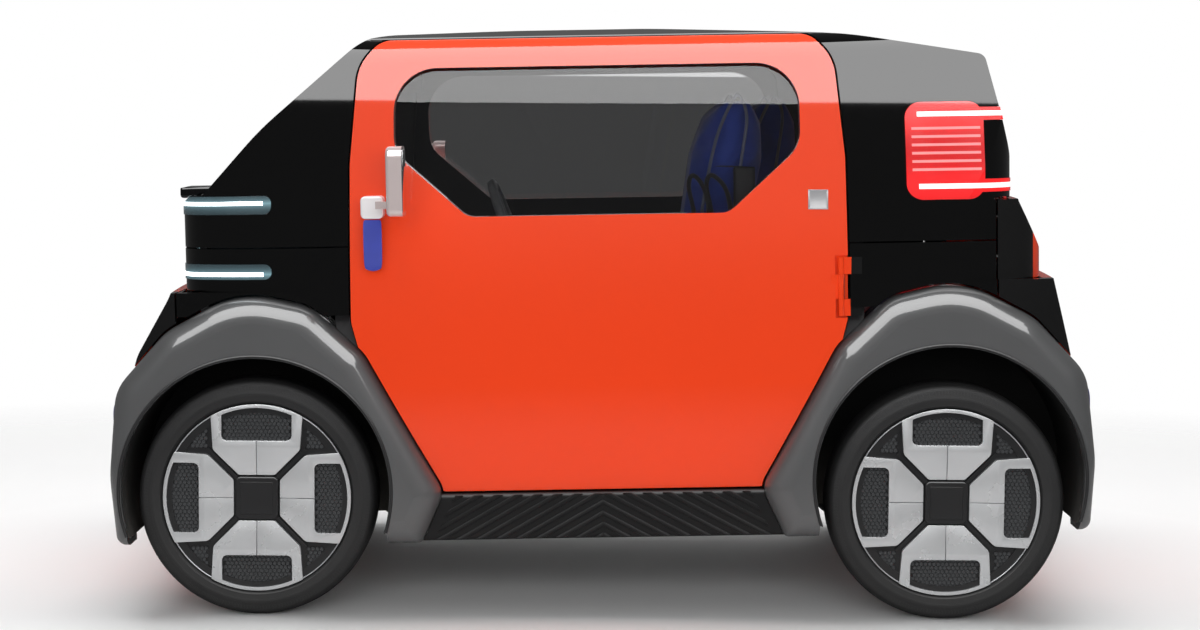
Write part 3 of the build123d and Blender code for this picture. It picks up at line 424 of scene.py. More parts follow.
def weave_group() -> bpy.types.NodeTree:
    """Crossed threads of a flat woven cloth, as a colour and a height; the colour holds painted shade, darker in the
    weave's dips.
    """
    found = bpy.data.node_groups.get("weave")
    if found:
        return found
    group, given, result = effect_group(
        "weave",
        [("Colour", "NodeSocketColor", (0.1, 0.2, 0.5, 1)), ("Thread Scale", "NodeSocketFloat", 900.0),
         ("Contrast", "NodeSocketFloat", 0.35)],
        [("Colour", "NodeSocketColor"), ("Height", "NodeSocketFloat")])
    split = axes(group)
    across = maths(group, "MULTIPLY", maths(group, "ADD", split.outputs["X"], split.outputs["Y"]),
                   given.outputs["Thread Scale"])
    along = maths(group, "MULTIPLY", maths(group, "SUBTRACT", split.outputs["Z"],
                                           maths(group, "MULTIPLY", split.outputs["X"], 0.6)),
                  given.outputs["Thread Scale"])
    weave = maths(group, "MULTIPLY", maths(group, "SINE", across), maths(group, "SINE", along))
    height = maths(group, "MULTIPLY_ADD", weave, 0.5, 0.5)
    group.links.new(height, result.inputs["Height"])
    # Painted shade: the cloth colour darkens where the weave dips and lightens on the raised threads.
    fade = maths(group, "MULTIPLY", maths(group, "SUBTRACT", height, 0.5), given.outputs["Contrast"])
    drift = maths(group, "MULTIPLY", maths(group, "SUBTRACT", noise(group, 22.0, 4.0), 0.5), 0.35)
    shade = group.nodes.new("ShaderNodeHueSaturation")
    group.links.new(given.outputs["Colour"], shade.inputs["Color"])
    group.links.new(maths(group, "ADD", maths(group, "ADD", fade, drift), 1.0), shade.inputs["Value"])
    group.links.new(shade.outputs[0], result.inputs["Colour"])
    return group


def placed_group(tree: bpy.types.NodeTree, group: bpy.types.NodeTree, values: dict[str, object]) -> bpy.types.Node:
    """Put a shared group into a material with its own values."""
    node = tree.nodes.new("ShaderNodeGroup")
    node.node_tree = group
    for name, value in values.items():
        node.inputs[name].default_value = (*value, 1.0) if isinstance(value, tuple) else value
    return node


# ---------------------------------------------------------------- finishes
@dataclass(frozen=True)
class Finish:
    """A painted, moulded, cast or rubber finish: colour, gloss, grain, drift and road dust."""

    name: str
    colour: Colour
    roughness: float = 0.45
    metallic: float = 0.0
    coat: float = 0.0
    drift: float = 0.1
    drift_scale: float = 6.0
    grain: float = 0.25
    grain_scale: float = 900.0
    smudge: float = 0.12
    dust: float = 0.0
    bump: float = 0.15
    specular: float = 0.5
    coat_roughness: float = 0.02

    def start(self) -> tuple[bpy.types.Material, bpy.types.NodeTree, bpy.types.Node]:
        """Make an empty node material.

        Returns:
            The material, its node tree and its Principled shader.
        """
        material = bpy.data.materials.new(self.name + "_finish")
        material.use_nodes = True
        tree = material.node_tree
        shader = tree.nodes["Principled BSDF"]
        material.diffuse_color = (*self.colour, 1)
        return material, tree, shader

    def material(self) -> bpy.types.Material:
        """Return this finish's node material, made on its first use."""
        found = bpy.data.materials.get(self.name + "_finish")
        if found:
            return found
        material, tree, shader = self.start()
        shader.inputs["Metallic"].default_value = self.metallic
        shader.inputs["Coat Weight"].default_value = self.coat
        shader.inputs["Coat Roughness"].default_value = self.coat_roughness
        shader.inputs["Specular IOR Level"].default_value = self.specular
        surface = placed_group(tree, surface_group(), {
            "Colour": self.colour, "Drift": self.drift, "Drift Scale": self.drift_scale, "Grain": self.grain,
            "Grain Scale": self.grain_scale, "Roughness": self.roughness, "Smudge": self.smudge, "Dust": self.dust})
        tree.links.new(surface.outputs["Colour"], shader.inputs["Base Color"])
        tree.links.new(surface.outputs["Roughness"], shader.inputs["Roughness"])
        self.detail(tree, shader, surface)
        return material

    def detail(self, tree: bpy.types.NodeTree, shader: bpy.types.Node, surface: bpy.types.Node) -> None:
        """Feed the fine relief into the normal.

        Args:
            tree: the material's nodes.
            shader: its Principled shader.
            surface: the shared surface group, placed.
        """
        self.relief(tree, shader, surface.outputs["Height"], 0.0004)

    def relief(self, tree: bpy.types.NodeTree, shader: bpy.types.Node, height: bpy.types.NodeSocket,
               depth: float) -> None:
        """Feed a height into the normal.

        Args:
            tree: the material's nodes.
            shader: its Principled shader.
            height: from 0 to 1.
            depth: what a height of 1 stands for, in metres.
        """
        bump = tree.nodes.new("ShaderNodeBump")
        bump.inputs["Strength"].default_value = self.bump
        bump.inputs["Distance"].default_value = depth
        tree.links.new(height, bump.inputs["Height"])
        tree.links.new(bump.outputs[0], shader.inputs["Normal"])

    def on(self, piece: bpy.types.Object) -> None:
        """Give a piece this finish, in every slot of its object."""
        if not piece.material_slots:
            piece.data.materials.append(self.material())
        for slot in piece.material_slots:
            slot.material = self.material()

    def on_node(self, *nodes: str) -> None:
        """Give solids this finish."""
        for node in nodes:
            self.on(frame["nodes"][node])


@dataclass(frozen=True)
class TwoTone(Finish):
    """Gloss paint in two colours, parted by a straight line with a fine dark joint."""

    second: Colour = (0.0022, 0.0022, 0.0024)
    axis: Axis = Axis.HALF_WIDTH
    edge: float = 0.634
    joint: float = 0.0016

    def detail(self, tree: bpy.types.NodeTree, shader: bpy.types.Node, surface: bpy.types.Node) -> None:
        """Paint everything beyond the edge in the second colour.

        Args:
            tree: the material's nodes.
            shader: its Principled shader.
            surface: the shared surface group, placed.
        """
        split = axes(tree)
        along = split.outputs["Y"] if self.axis is Axis.HALF_WIDTH else split.outputs["X"]
        reach = maths(tree, "ABSOLUTE", along)
        beyond = maths(tree, "GREATER_THAN", reach, self.edge)
        away = maths(tree, "ABSOLUTE", maths(tree, "SUBTRACT", reach, self.edge))
        on_joint = maths(tree, "LESS_THAN", away, self.joint)
        painted = mixed(tree, beyond, surface.outputs["Colour"], self.second)
        tree.links.new(mixed(tree, on_joint, painted, (0.001, 0.001, 0.001)), shader.inputs["Base Color"])
        height = maths(tree, "SUBTRACT", surface.outputs["Height"], maths(tree, "MULTIPLY", on_joint, 4.0))
        self.relief(tree, shader, height, 0.0004)


@dataclass(frozen=True)
class TyreRubber(Finish):
    """Tyre rubber: rings and a fine rib band on the sidewall, grooves and sipes in the tread."""

    axle_x: float = 0.865
    axle_z: float = 0.3
    track: float = 0.6275
    tread_radius: float = 0.296

    def detail(self, tree: bpy.types.NodeTree, shader: bpy.types.Node, surface: bpy.types.Node) -> None:
        """Build the sidewall rings and the tread's grooves round each wheel's own axle.

        Args:
            tree: the material's nodes.
            shader: its Principled shader.
            surface: the shared surface group, placed.
        """
        split = axes(tree)
        x = maths(tree, "SUBTRACT", maths(tree, "ABSOLUTE", split.outputs["X"]), self.axle_x)
        z = maths(tree, "SUBTRACT", split.outputs["Z"], self.axle_z)
        y = maths(tree, "SUBTRACT", maths(tree, "ABSOLUTE", split.outputs["Y"]), self.track)
        radius = maths(tree, "SQRT", maths(tree, "ADD", maths(tree, "MULTIPLY", x, x), maths(tree, "MULTIPLY", z, z)))
        angle = maths(tree, "ARCTAN2", z, x)
        height: object = 0.0
        for ring in (0.2455, 0.2585, 0.2665, 0.2845):
            away = maths(tree, "ABSOLUTE", maths(tree, "SUBTRACT", radius, ring))
            height = maths(tree, "ADD", height, maths(tree, "LESS_THAN", away, 0.0009))
        band = maths(tree, "LESS_THAN", maths(tree, "ABSOLUTE", maths(tree, "SUBTRACT", radius, 0.2785)), 0.0045)
        teeth = maths(tree, "GREATER_THAN", maths(tree, "SINE", maths(tree, "MULTIPLY", angle, 220.0)), 0.0)
        height = maths(tree, "ADD", height, maths(tree, "MULTIPLY", band, teeth))
        tread = maths(tree, "GREATER_THAN", radius, self.tread_radius)
        for groove in (-0.033, -0.011, 0.011, 0.033):
            away = maths(tree, "ABSOLUTE", maths(tree, "SUBTRACT", y, groove))
            cut = maths(tree, "MULTIPLY", maths(tree, "LESS_THAN", away, 0.0035), tread)
            height = maths(tree, "SUBTRACT", height, maths(tree, "MULTIPLY", cut, 3.0))
        lean = maths(tree, "MULTIPLY_ADD", y, 5.0, angle)
        sipe = maths(tree, "GREATER_THAN", maths(tree, "SINE", maths(tree, "MULTIPLY", lean, 90.0)), 0.86)
        sipe = maths(tree, "MULTIPLY", maths(tree, "MULTIPLY", sipe, tread), 1.4)
        height = maths(tree, "SUBTRACT", height, sipe)
        height = maths(tree, "ADD", height, surface.outputs["Height"])
        self.relief(tree, shader, height, 0.0012)


@dataclass(frozen=True)
class Cloth(Finish):
    """Woven upholstery or webbing."""

    thread_scale: float = 1500.0
    sheen: float = 0.4

    def material(self) -> bpy.types.Material:
        """Return the cloth's node material, made on its first use."""
        found = bpy.data.materials.get(self.name + "_finish")
        if found:
            return found
        material, tree, shader = self.start()
        shader.inputs["Roughness"].default_value = self.roughness
        shader.inputs["Sheen Weight"].default_value = self.sheen
        shader.inputs["Sheen Roughness"].default_value = 0.5
        weave = placed_group(tree, weave_group(), {"Colour": self.colour, "Thread Scale": self.thread_scale})
        tree.links.new(weave.outputs["Colour"], shader.inputs["Base Color"])
        self.relief(tree, shader, weave.outputs["Height"], 0.0008)
        return material


@dataclass(frozen=True)
class Pane(Finish):
    """Tinted glass or a clear lamp cover."""

    transmission: float = 1.0
    ior: float = 1.45

    def detail(self, tree: bpy.types.NodeTree, shader: bpy.types.Node, surface: bpy.types.Node) -> None:
        """Set the glass's plain values.

        Args:
            tree: the material's nodes; not used.
            shader: its Principled shader.
            surface: the shared surface group, placed; not used.
        """
        shader.inputs["Transmission Weight"].default_value = self.transmission
        shader.inputs["IOR"].default_value = self.ior


@dataclass(frozen=True)
class GlowingLens(Finish):
    """A lamp cover lit from behind, brightest along its two light bars."""

    glow: Colour = (1.0, 0.02, 0.02)
    strength: float = 1.0
    floor_glow: float = 0.25
    bars: tuple[float, float] = (1.252, 1.073)
    reach: float = 26.0

    def detail(self, tree: bpy.types.NodeTree, shader: bpy.types.Node, surface: bpy.types.Node) -> None:
        """Add the light that fades away from each bar.

        Args:
            tree: the material's nodes.
            shader: its Principled shader.
            surface: the shared surface group, placed.
        """
        split = axes(tree)
        level = maths(tree, "MULTIPLY_ADD", split.outputs["X"], math.sin(RAKE), split.outputs["Z"])
        light: object = self.floor_glow
        for bar in self.bars:
            away = maths(tree, "ABSOLUTE", maths(tree, "SUBTRACT", level, bar))
            near = maths(tree, "POWER", 2.718, maths(tree, "MULTIPLY", away, -self.reach))
            light = maths(tree, "ADD", light, near)
        lit = mixed(tree, maths(tree, "MINIMUM", light, 1.0), (0.0, 0.0, 0.0), self.glow)
        tree.links.new(lit, shader.inputs["Emission Color"])
        shader.inputs["Emission Strength"].default_value = self.strength
        shader.inputs["Transmission Weight"].default_value = 0.2
        self.relief(tree, shader, surface.outputs["Height"], 0.0003)


@dataclass(frozen=True)
class Glow(Finish):
    """A lit strip."""

    strength: float = 4.0

    def detail(self, tree: bpy.types.NodeTree, shader: bpy.types.Node, surface: bpy.types.Node) -> None:
        """Make the strip shine in its own colour.

        Args:
            tree: the material's nodes.
            shader: its Principled shader.
            surface: the shared surface group, placed.
        """
        tree.links.new(surface.outputs["Colour"], shader.inputs["Emission Color"])
        shader.inputs["Emission Strength"].default_value = self.strength


ORANGE_PAINT = Finish("orange_paint", (0.86, 0.05, 0.004), 0.45, coat=1.0, drift=0.05, drift_scale=2.5,
                      grain=0.3, grain_scale=2600, smudge=0.05, dust=0.04, bump=0.04, specular=0.1)
GLOSS_BLACK = Finish("gloss_black", (0.0012, 0.0012, 0.0013), 0.35, coat=1.0, drift=0.2, grain=0.2,
                     grain_scale=2200, smudge=0.06, dust=0.03, bump=0.03, specular=0.0)
END_PANEL = TwoTone("end_panel_paint", (0.86, 0.05, 0.004), 0.45, coat=1.0, drift=0.05, drift_scale=2.5,
                    grain=0.3, grain_scale=2600, smudge=0.05, dust=0.04, bump=0.04, specular=0.1)
HINGE_PAINT = TwoTone("hinge_paint", (0.86, 0.05, 0.004), 0.45, coat=1.0, drift=0.05, grain=0.4, bump=0.04,
                      specular=0.1, axis=Axis.LENGTH, edge=0.617)
FENDER_GREY = Finish("fender_grey", (0.085, 0.086, 0.088), 0.36, coat=1.0, coat_roughness=0.07, drift=0.12,
                     grain=0.6, grain_scale=1800, smudge=0.08, dust=0.1, bump=0.12, specular=0.25)
LIP_BLACK = Finish("lip_black", (0.012, 0.012, 0.013), 0.42, drift=0.1, grain=0.5, grain_scale=1600, dust=0.03)
FRAME_BLACK = Finish("frame_black", (0.008, 0.008, 0.009), 0.6, drift=0.15, grain=0.8, grain_scale=1300, bump=0.35)
SILL_DARK = Finish("sill_dark", (0.007, 0.007, 0.0075), 0.4, specular=0.25, drift=0.15, grain=0.6,
                   grain_scale=1500, dust=0.03)
LINER_FELT = Finish("liner_felt", (0.008, 0.008, 0.008), 0.95, drift=0.3, grain=1.0, grain_scale=700, dust=0.5,
                    bump=0.6, specular=0.2)
CHASSIS_PAINT = Finish("chassis_paint", (0.03, 0.03, 0.033), 0.5, drift=0.2, grain=0.8, dust=0.5)
PAD_BLUE = Finish("pad_blue", (0.022, 0.02, 0.165), 0.48, drift=0.12, grain=0.7, grain_scale=1400, dust=0.15, bump=0.3)
STEEL = Finish("bare_steel", (0.33, 0.33, 0.34), 0.38, metallic=0.9, drift=0.2, grain=0.6, smudge=0.25, dust=0.3)
HANDLE_WHITE = Finish("handle_white", (0.8, 0.79, 0.8), 0.2, coat=0.6, drift=0.05, grain=0.3, smudge=0.08)
# Mirror shell: light chrome-like grey; its warm tint is a painted reflection of the orange paint.
MIRROR_SHELL = Finish("mirror_shell", (0.7, 0.6, 0.59), 0.16, coat=0.8, drift=0.12, grain=0.2, metallic=0.35)
MIRROR_GLASS = Finish("mirror_glass", (0.86, 0.88, 0.9), 0.03, metallic=1.0, drift=0.02, grain=0.0, smudge=0.02)
DASH_PLASTIC = Finish("dash_plastic", (0.04, 0.042, 0.046), 0.62, drift=0.12, grain=1.0, grain_scale=1100, bump=0.4)
TRIM_DARK = Finish("trim_dark", (0.022, 0.023, 0.026), 0.6, drift=0.12, grain=1.0, grain_scale=1100, bump=0.4)
WHEEL_GREY = Finish("wheel_grey", (0.19, 0.2, 0.21), 0.45, drift=0.1, grain=0.9, grain_scale=1500, bump=0.3)
BATTERY_CASE = Finish("battery_case", (0.16, 0.165, 0.17), 0.4, metallic=0.6, drift=0.15, grain=0.8)
MOTOR_ALLOY = Finish("motor_alloy", (0.42, 0.43, 0.44), 0.42, metallic=1.0, drift=0.2, grain=1.0, dust=0.5, bump=0.4)
WHEEL_BLACK = Finish("wheel_black", (0.009, 0.009, 0.01), 0.36, drift=0.15, grain=0.4, dust=0.03)
MESH_GREY = Finish("mesh_grey", (0.05, 0.052, 0.055), 0.42, metallic=0.3, drift=0.2, grain=0.5, dust=0.03)
BLADE_SILVER = Finish("blade_silver", (0.6, 0.61, 0.62), 0.27, metallic=0.45, drift=0.04, grain=0.2,
                      grain_scale=2600, smudge=0.04, dust=0.01, bump=0.02)
RIM_EDGE = Finish("rim_edge", (0.45, 0.46, 0.48), 0.3, metallic=0.5, drift=0.1, grain=0.3, dust=0.05)
PLATE_GREY = Finish("plate_grey", (0.34, 0.34, 0.35), 0.35, drift=0.08, grain=0.5)
SCREEN_GLASS = Finish("screen_glass", (0.012, 0.014, 0.018), 0.08, coat=1.0, drift=0.1, grain=0.1)
TYRE = TyreRubber("tyre_rubber", (0.011, 0.011, 0.0115), 0.62, drift=0.3, drift_scale=18, grain=0.25,
                  grain_scale=1400, smudge=0.14, dust=0.02, bump=0.55, specular=0.35)
SEAT_BLUE = Cloth("seat_blue", (0.03, 0.07, 0.42), 0.85, bump=0.35)
STRAP_BLUE = Cloth("strap_blue", (0.016, 0.034, 0.34), 0.75, bump=0.45, thread_scale=2100.0)
BELT_BLACK = Cloth("belt_black", (0.01, 0.01, 0.012), 0.7, bump=0.4, thread_scale=2100.0)
PIPING = Cloth("piping", (0.16, 0.18, 0.26), 0.7, bump=0.3)
TINTED = Pane("tinted_glass", (0.6, 0.603, 0.606), 0.0, grain=0.0, smudge=0.0, drift=0.02)
LAMP_GLASS = GlowingLens("lamp_glass", (0.035, 0.055, 0.065), 0.1, coat=1.0, drift=0.05, grain=0.1,
                         glow=(0.34, 0.6, 0.68), strength=0.6, floor_glow=0.0, bars=(1.058, 0.882), reach=120.0)
LAMP_RED = GlowingLens("lamp_red", (0.5, 0.008, 0.012), 0.12, coat=1.0, drift=0.05, grain=0.2, strength=0.75,
                       floor_glow=0.1, bars=(1.252, 1.073), reach=22.0)
LED_WHITE = Glow("led_white", (0.85, 0.96, 1.0), 0.3, strength=5.0)
LED_PINK = Glow("led_pink", (1.0, 0.62, 0.6), 0.3, strength=1.3)
RIB_RED = Glow("rib_red", (0.8, 0.2, 0.2), 0.25, coat=0.8, drift=0.05, strength=0.55)


def settle(piece: bpy.types.Object, finish: Finish, body: str) -> None:
    """Dress a new piece and make it ride.

    Args:
        piece: the finished mesh, at the origin.
        finish: its material.
        body: the moving body it belongs to.
    """
    finish.on(piece)
    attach(piece, body)
    LOG.info("%s rides on %s: %d faces", piece.name, body, len(piece.data.polygons))


# ---------------------------------------------------------------- studio
@dataclass
class Studio:
    """Pale floor, soft light and the camera."""

    camera_place: Point = (0.0072, 6.6, 1.251)
    camera_tilt: float = 4.69
    camera_roll: float = 0.41
    lens: float = 71.3
    floor_half: float = 9.0

    def build(self) -> None:
        """Make the camera, the floor and the lights."""
        self.make_camera()
        self.make_floor()
        self.make_lights()
        self.make_surroundings()

    def make_camera(self) -> None:
        """Place the camera level with the roof line, looking slightly down at the car's left side."""
        bpy.ops.object.select_all(action="DESELECT")
        bpy.ops.object.camera_add(location=self.camera_place)
        camera = bpy.context.object
        turn = (Matrix.Rotation(math.pi, 4, "Z") @ Matrix.Rotation(math.radians(90 - self.camera_tilt), 4, "X")
                @ Matrix.Rotation(math.radians(self.camera_roll), 4, "Z"))
        camera.rotation_euler = turn.to_euler()
        camera.data.lens = self.lens
        camera.data.sensor_width = 36.0
        camera.data.clip_end = 60
        bpy.context.scene.camera = camera
        bpy.context.scene.view_settings.view_transform = "Standard"

    def make_floor(self) -> None:
        """Lay a plain pale floor that fades into the surroundings; its reflection in the car's gloss is painted
        darker.
        """
        bpy.ops.object.select_all(action="DESELECT")
        bpy.ops.mesh.primitive_plane_add(size=2 * self.floor_half, location=(0, 0, 0))
        floor = bpy.context.object
        floor.name = "floor"
        material = bpy.data.materials.new("floor_pale")
        material.use_nodes = True
        tree = material.node_tree
        shader = tree.nodes["Principled BSDF"]
        shader.inputs["Roughness"].default_value = 0.55
        # Painted reflection: glossy rays see the floor at 0.3 grey instead of 0.9, so the car's gloss shows a darker
        # floor.
        path = tree.nodes.new("ShaderNodeLightPath")
        tree.links.new(mixed(tree, path.outputs["Is Glossy Ray"], (0.9, 0.9, 0.9), (0.3, 0.3, 0.3)),
                       shader.inputs["Base Color"])
        split = axes(tree)
        x = maths(tree, "MULTIPLY", split.outputs["X"], 0.8)
        y = split.outputs["Y"]
        away = maths(tree, "SQRT", maths(tree, "ADD", maths(tree, "MULTIPLY", x, x), maths(tree, "MULTIPLY", y, y)))
        fade = tree.nodes.new("ShaderNodeMapRange")
        tree.links.new(away, fade.inputs["Value"])
        fade.inputs["From Min"].default_value = 1.7
        fade.inputs["From Max"].default_value = 4.2
        fade.inputs["To Min"].default_value = 1.0
        fade.inputs["To Max"].default_value = 0.0
        tree.links.new(fade.outputs[0], shader.inputs["Alpha"])
        floor.data.materials.append(material)

    def make_lights(self) -> None:
        """Hang the key light over the roof, fills at both sides and a card that only the gloss sees."""
        self.softbox("key", (0, -0.4, 4.6), (0, -0.4, 0.0), (7.0, 3.0), 260, Lit.MATT)
        self.softbox("near_fill", (0, 6.6, 2.0), (0, 0, 0.7), (6.0, 2.4), 205, Lit.MATT)
        self.softbox("far_fill", (0, -5.0, 2.6), (0, 0, 0.8), (6.0, 2.4), 55, Lit.MATT)
        self.softbox("card", (0, 3.0, 4.395), (0, 0.35, 1.045), (9.0, 4.2), 860, Lit.GLOSS)
        self.softbox("far_card", (0, -3.6, 4.2), (0, -0.35, 1.0), (9.0, 3.0), 110, Lit.GLOSS)

    def softbox(self, name: str, place: Point, aim: Point, size: tuple[float, float], power: float,
                lit: Lit) -> None:
        """Add one rectangular light.

        Args:
            name: the light's name.
            place: where it hangs.
            aim: what it points at.
            size: its width and height.
            power: in watts.
            lit: which part of a surface's shine it feeds.
        """
        bpy.ops.object.select_all(action="DESELECT")
        bpy.ops.object.light_add(type="AREA", location=place)
        lamp = bpy.context.object
        lamp.name = name
        lamp.data.shape = "RECTANGLE"
        lamp.data.size, lamp.data.size_y = size
        lamp.data.energy = power
        lamp.visible_camera = False
        lamp.visible_transmission = lit is Lit.MATT
        lamp.visible_diffuse = lit is Lit.MATT
        lamp.visible_glossy = lit is Lit.GLOSS
        lamp.rotation_euler = (Vector(aim) - Vector(place)).to_track_quat("-Z", "Y").to_euler()

    def make_surroundings(self) -> None:
        """White surroundings that light the car evenly but stay dim in its gloss."""
        world = bpy.data.worlds.new("studio")
        bpy.context.scene.world = world
        world.use_nodes = True
        tree = world.node_tree
        background = tree.nodes["Background"]
        background.inputs["Color"].default_value = (1, 1, 1, 1)
        path = tree.nodes.new("ShaderNodeLightPath")
        plain = maths(tree, "SUBTRACT", 1.0, maths(tree, "MULTIPLY", path.outputs["Is Glossy Ray"], 0.88))
        plain = maths(tree, "SUBTRACT", plain, maths(tree, "MULTIPLY", path.outputs["Is Diffuse Ray"], 0.72))
        tree.links.new(plain, background.inputs["Strength"])


# ---------------------------------------------------------------- wheels
@dataclass
class Wheels:
    """Four wheels: bevelled blades, honeycomb inserts, rim edge and cap."""

    axle: float = 0.865
    track: float = 0.6275
    centre_z: float = 0.3
    disc_face: float = 0.0567
    cell: float = 0.0062
    mesh_height: float = 0.0042

    def build(self) -> None:
        """Make every piece of the four wheels."""
        for end in End:
            for side in Side:
                self.make_blades(end, side)
        mesh = self.honeycomb()
        edge = self.rim_edge()
        cap = self.cap_plate()
        for end in End:
            for side in Side:
                place = self.placing(end, side)
                key = f"{end.name.lower()}_{side.name.lower()}"
                for source, name, finish, slot in ((mesh, "honeycomb", MESH_GREY, "wheel_black"),
                                                   (edge, "rim_edge", RIM_EDGE, "blade_silver"),
                                                   (cap, "hub_cap", WHEEL_BLACK, "wheel_black")):
                    settle(copied(source, f"{name}_{key}", place), finish, f"wheel_{key}")
        for source in (mesh, edge, cap):
            bpy.data.objects.remove(source)

    def placing(self, end: End, side: Side) -> Matrix:
        """Matrix from a wheel drawn at the origin, facing +Y, to its place on the car."""
        mirror = Matrix.Scale(side.value, 4, (0, 1, 0))
        return Matrix.Translation((end.value * self.axle, side.value * self.track, self.centre_z)) @ mirror

    def make_blades(self, end: End, side: Side) -> None:
        """Round the edges of one wheel's blades so that they catch the light."""
        key = f"{end.name.lower()}_{side.name.lower()}"
        piece = node_copy(f"blades_{key}", f"silver_blades_{key}")
        bpy.ops.object.mode_set(mode="EDIT")
        bpy.ops.mesh.select_all(action="SELECT")
        bpy.ops.mesh.dissolve_limited(angle_limit=math.radians(1.2))
        bpy.ops.object.mode_set(mode="OBJECT")
        finish_with(piece, "BEVEL", width=0.0018, segments=2, limit_method="ANGLE", angle_limit=math.radians(40),
                    use_clamp_overlap=True)
        smooth(piece, 30)
        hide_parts(f"blades_{key}")
        settle(piece, BLADE_SILVER, f"wheel_{key}")

    def seen_cell(self, x: float, z: float) -> bool:
        """Whether a honeycomb cell there shows through a window or between two blades."""
        along, across = max(abs(x), abs(z)), min(abs(x), abs(z))
        radius = math.hypot(x, z)
        window = across < 0.085 and along > 0.147 and radius < 0.2225
        wedge = across > 0.1255 and radius < 0.2155
        return window or wedge

    def honeycomb(self) -> bpy.types.Object:
        """Honeycomb of raised hexagonal rims, drawn for a wheel at the origin."""
        cells = []
        step_x, step_z = self.cell * math.sqrt(3), self.cell * 1.5
        for row in range(-27, 28):
            for column in range(-24, 25):
                x = (column + (0.5 if row % 2 else 0.0)) * step_x
                z = row * step_z
                if self.seen_cell(x, z):
                    cells.append((x, z))
        points, faces = [], []
        for x, z in cells:
            base = len(points)
            for corner in range(6):
                turn = math.pi / 6 + corner * math.pi / 3
                points.append((x + self.cell * math.cos(turn), self.disc_face + self.mesh_height,
                               z + self.cell * math.sin(turn)))
            faces.append(tuple(base + corner for corner in reversed(range(6))))
        mesh = bpy.data.meshes.new("honeycomb")
        mesh.from_pydata(points, [], faces)
        piece = bpy.data.objects.new("honeycomb", mesh)
        bpy.context.scene.collection.objects.link(piece)
        count = pick_faces(piece, lambda centre, normal: True)
        LOG.info("honeycomb has %d cells", count)
        bpy.ops.mesh.inset(thickness=self.cell * 0.16, use_individual=True)
        bpy.ops.transform.translate(value=(0, -0.003, 0))
        leave_edit()
        smooth(piece, 20)
        return piece

    def rim_edge(self) -> bpy.types.Object:
        """Thin bright ring round the cover's edge."""
        bpy.ops.object.select_all(action="DESELECT")
        bpy.ops.mesh.primitive_torus_add(major_radius=0.2338, minor_radius=0.0016, major_segments=128,
                                         minor_segments=8, rotation=(math.pi / 2, 0, 0), location=(0, 0.0625, 0))
        piece = bpy.context.object
        apply_place(piece)
        smooth(piece, 60)
        return piece

    def cap_plate(self) -> bpy.types.Object:
        """Plain pillow-shaped plate on the hub's square cap."""
        piece = rounded_block("hub_cap", (-0.041, 0.069, -0.041), (0.041, 0.0722, 0.041), 0.0014, 2)
        pick_faces(piece, lambda centre, normal: normal.y > 0.95 and abs(centre.x) < 0.03 and abs(centre.z) < 0.03)
        bpy.ops.mesh.inset(thickness=0.009)
        bpy.ops.transform.translate(value=(0, -0.0016, 0))
        leave_edit()
        smooth(piece, 30)
        return piece

    def dress(self) -> None:
        """Give the tyres and wheel discs their finishes."""
        for end in ("front", "rear"):
            for side in ("left", "right"):
                TYRE.on_node(f"tyre_{end}_{side}")
                WHEEL_BLACK.on_node(f"wheel_{end}_{side}")


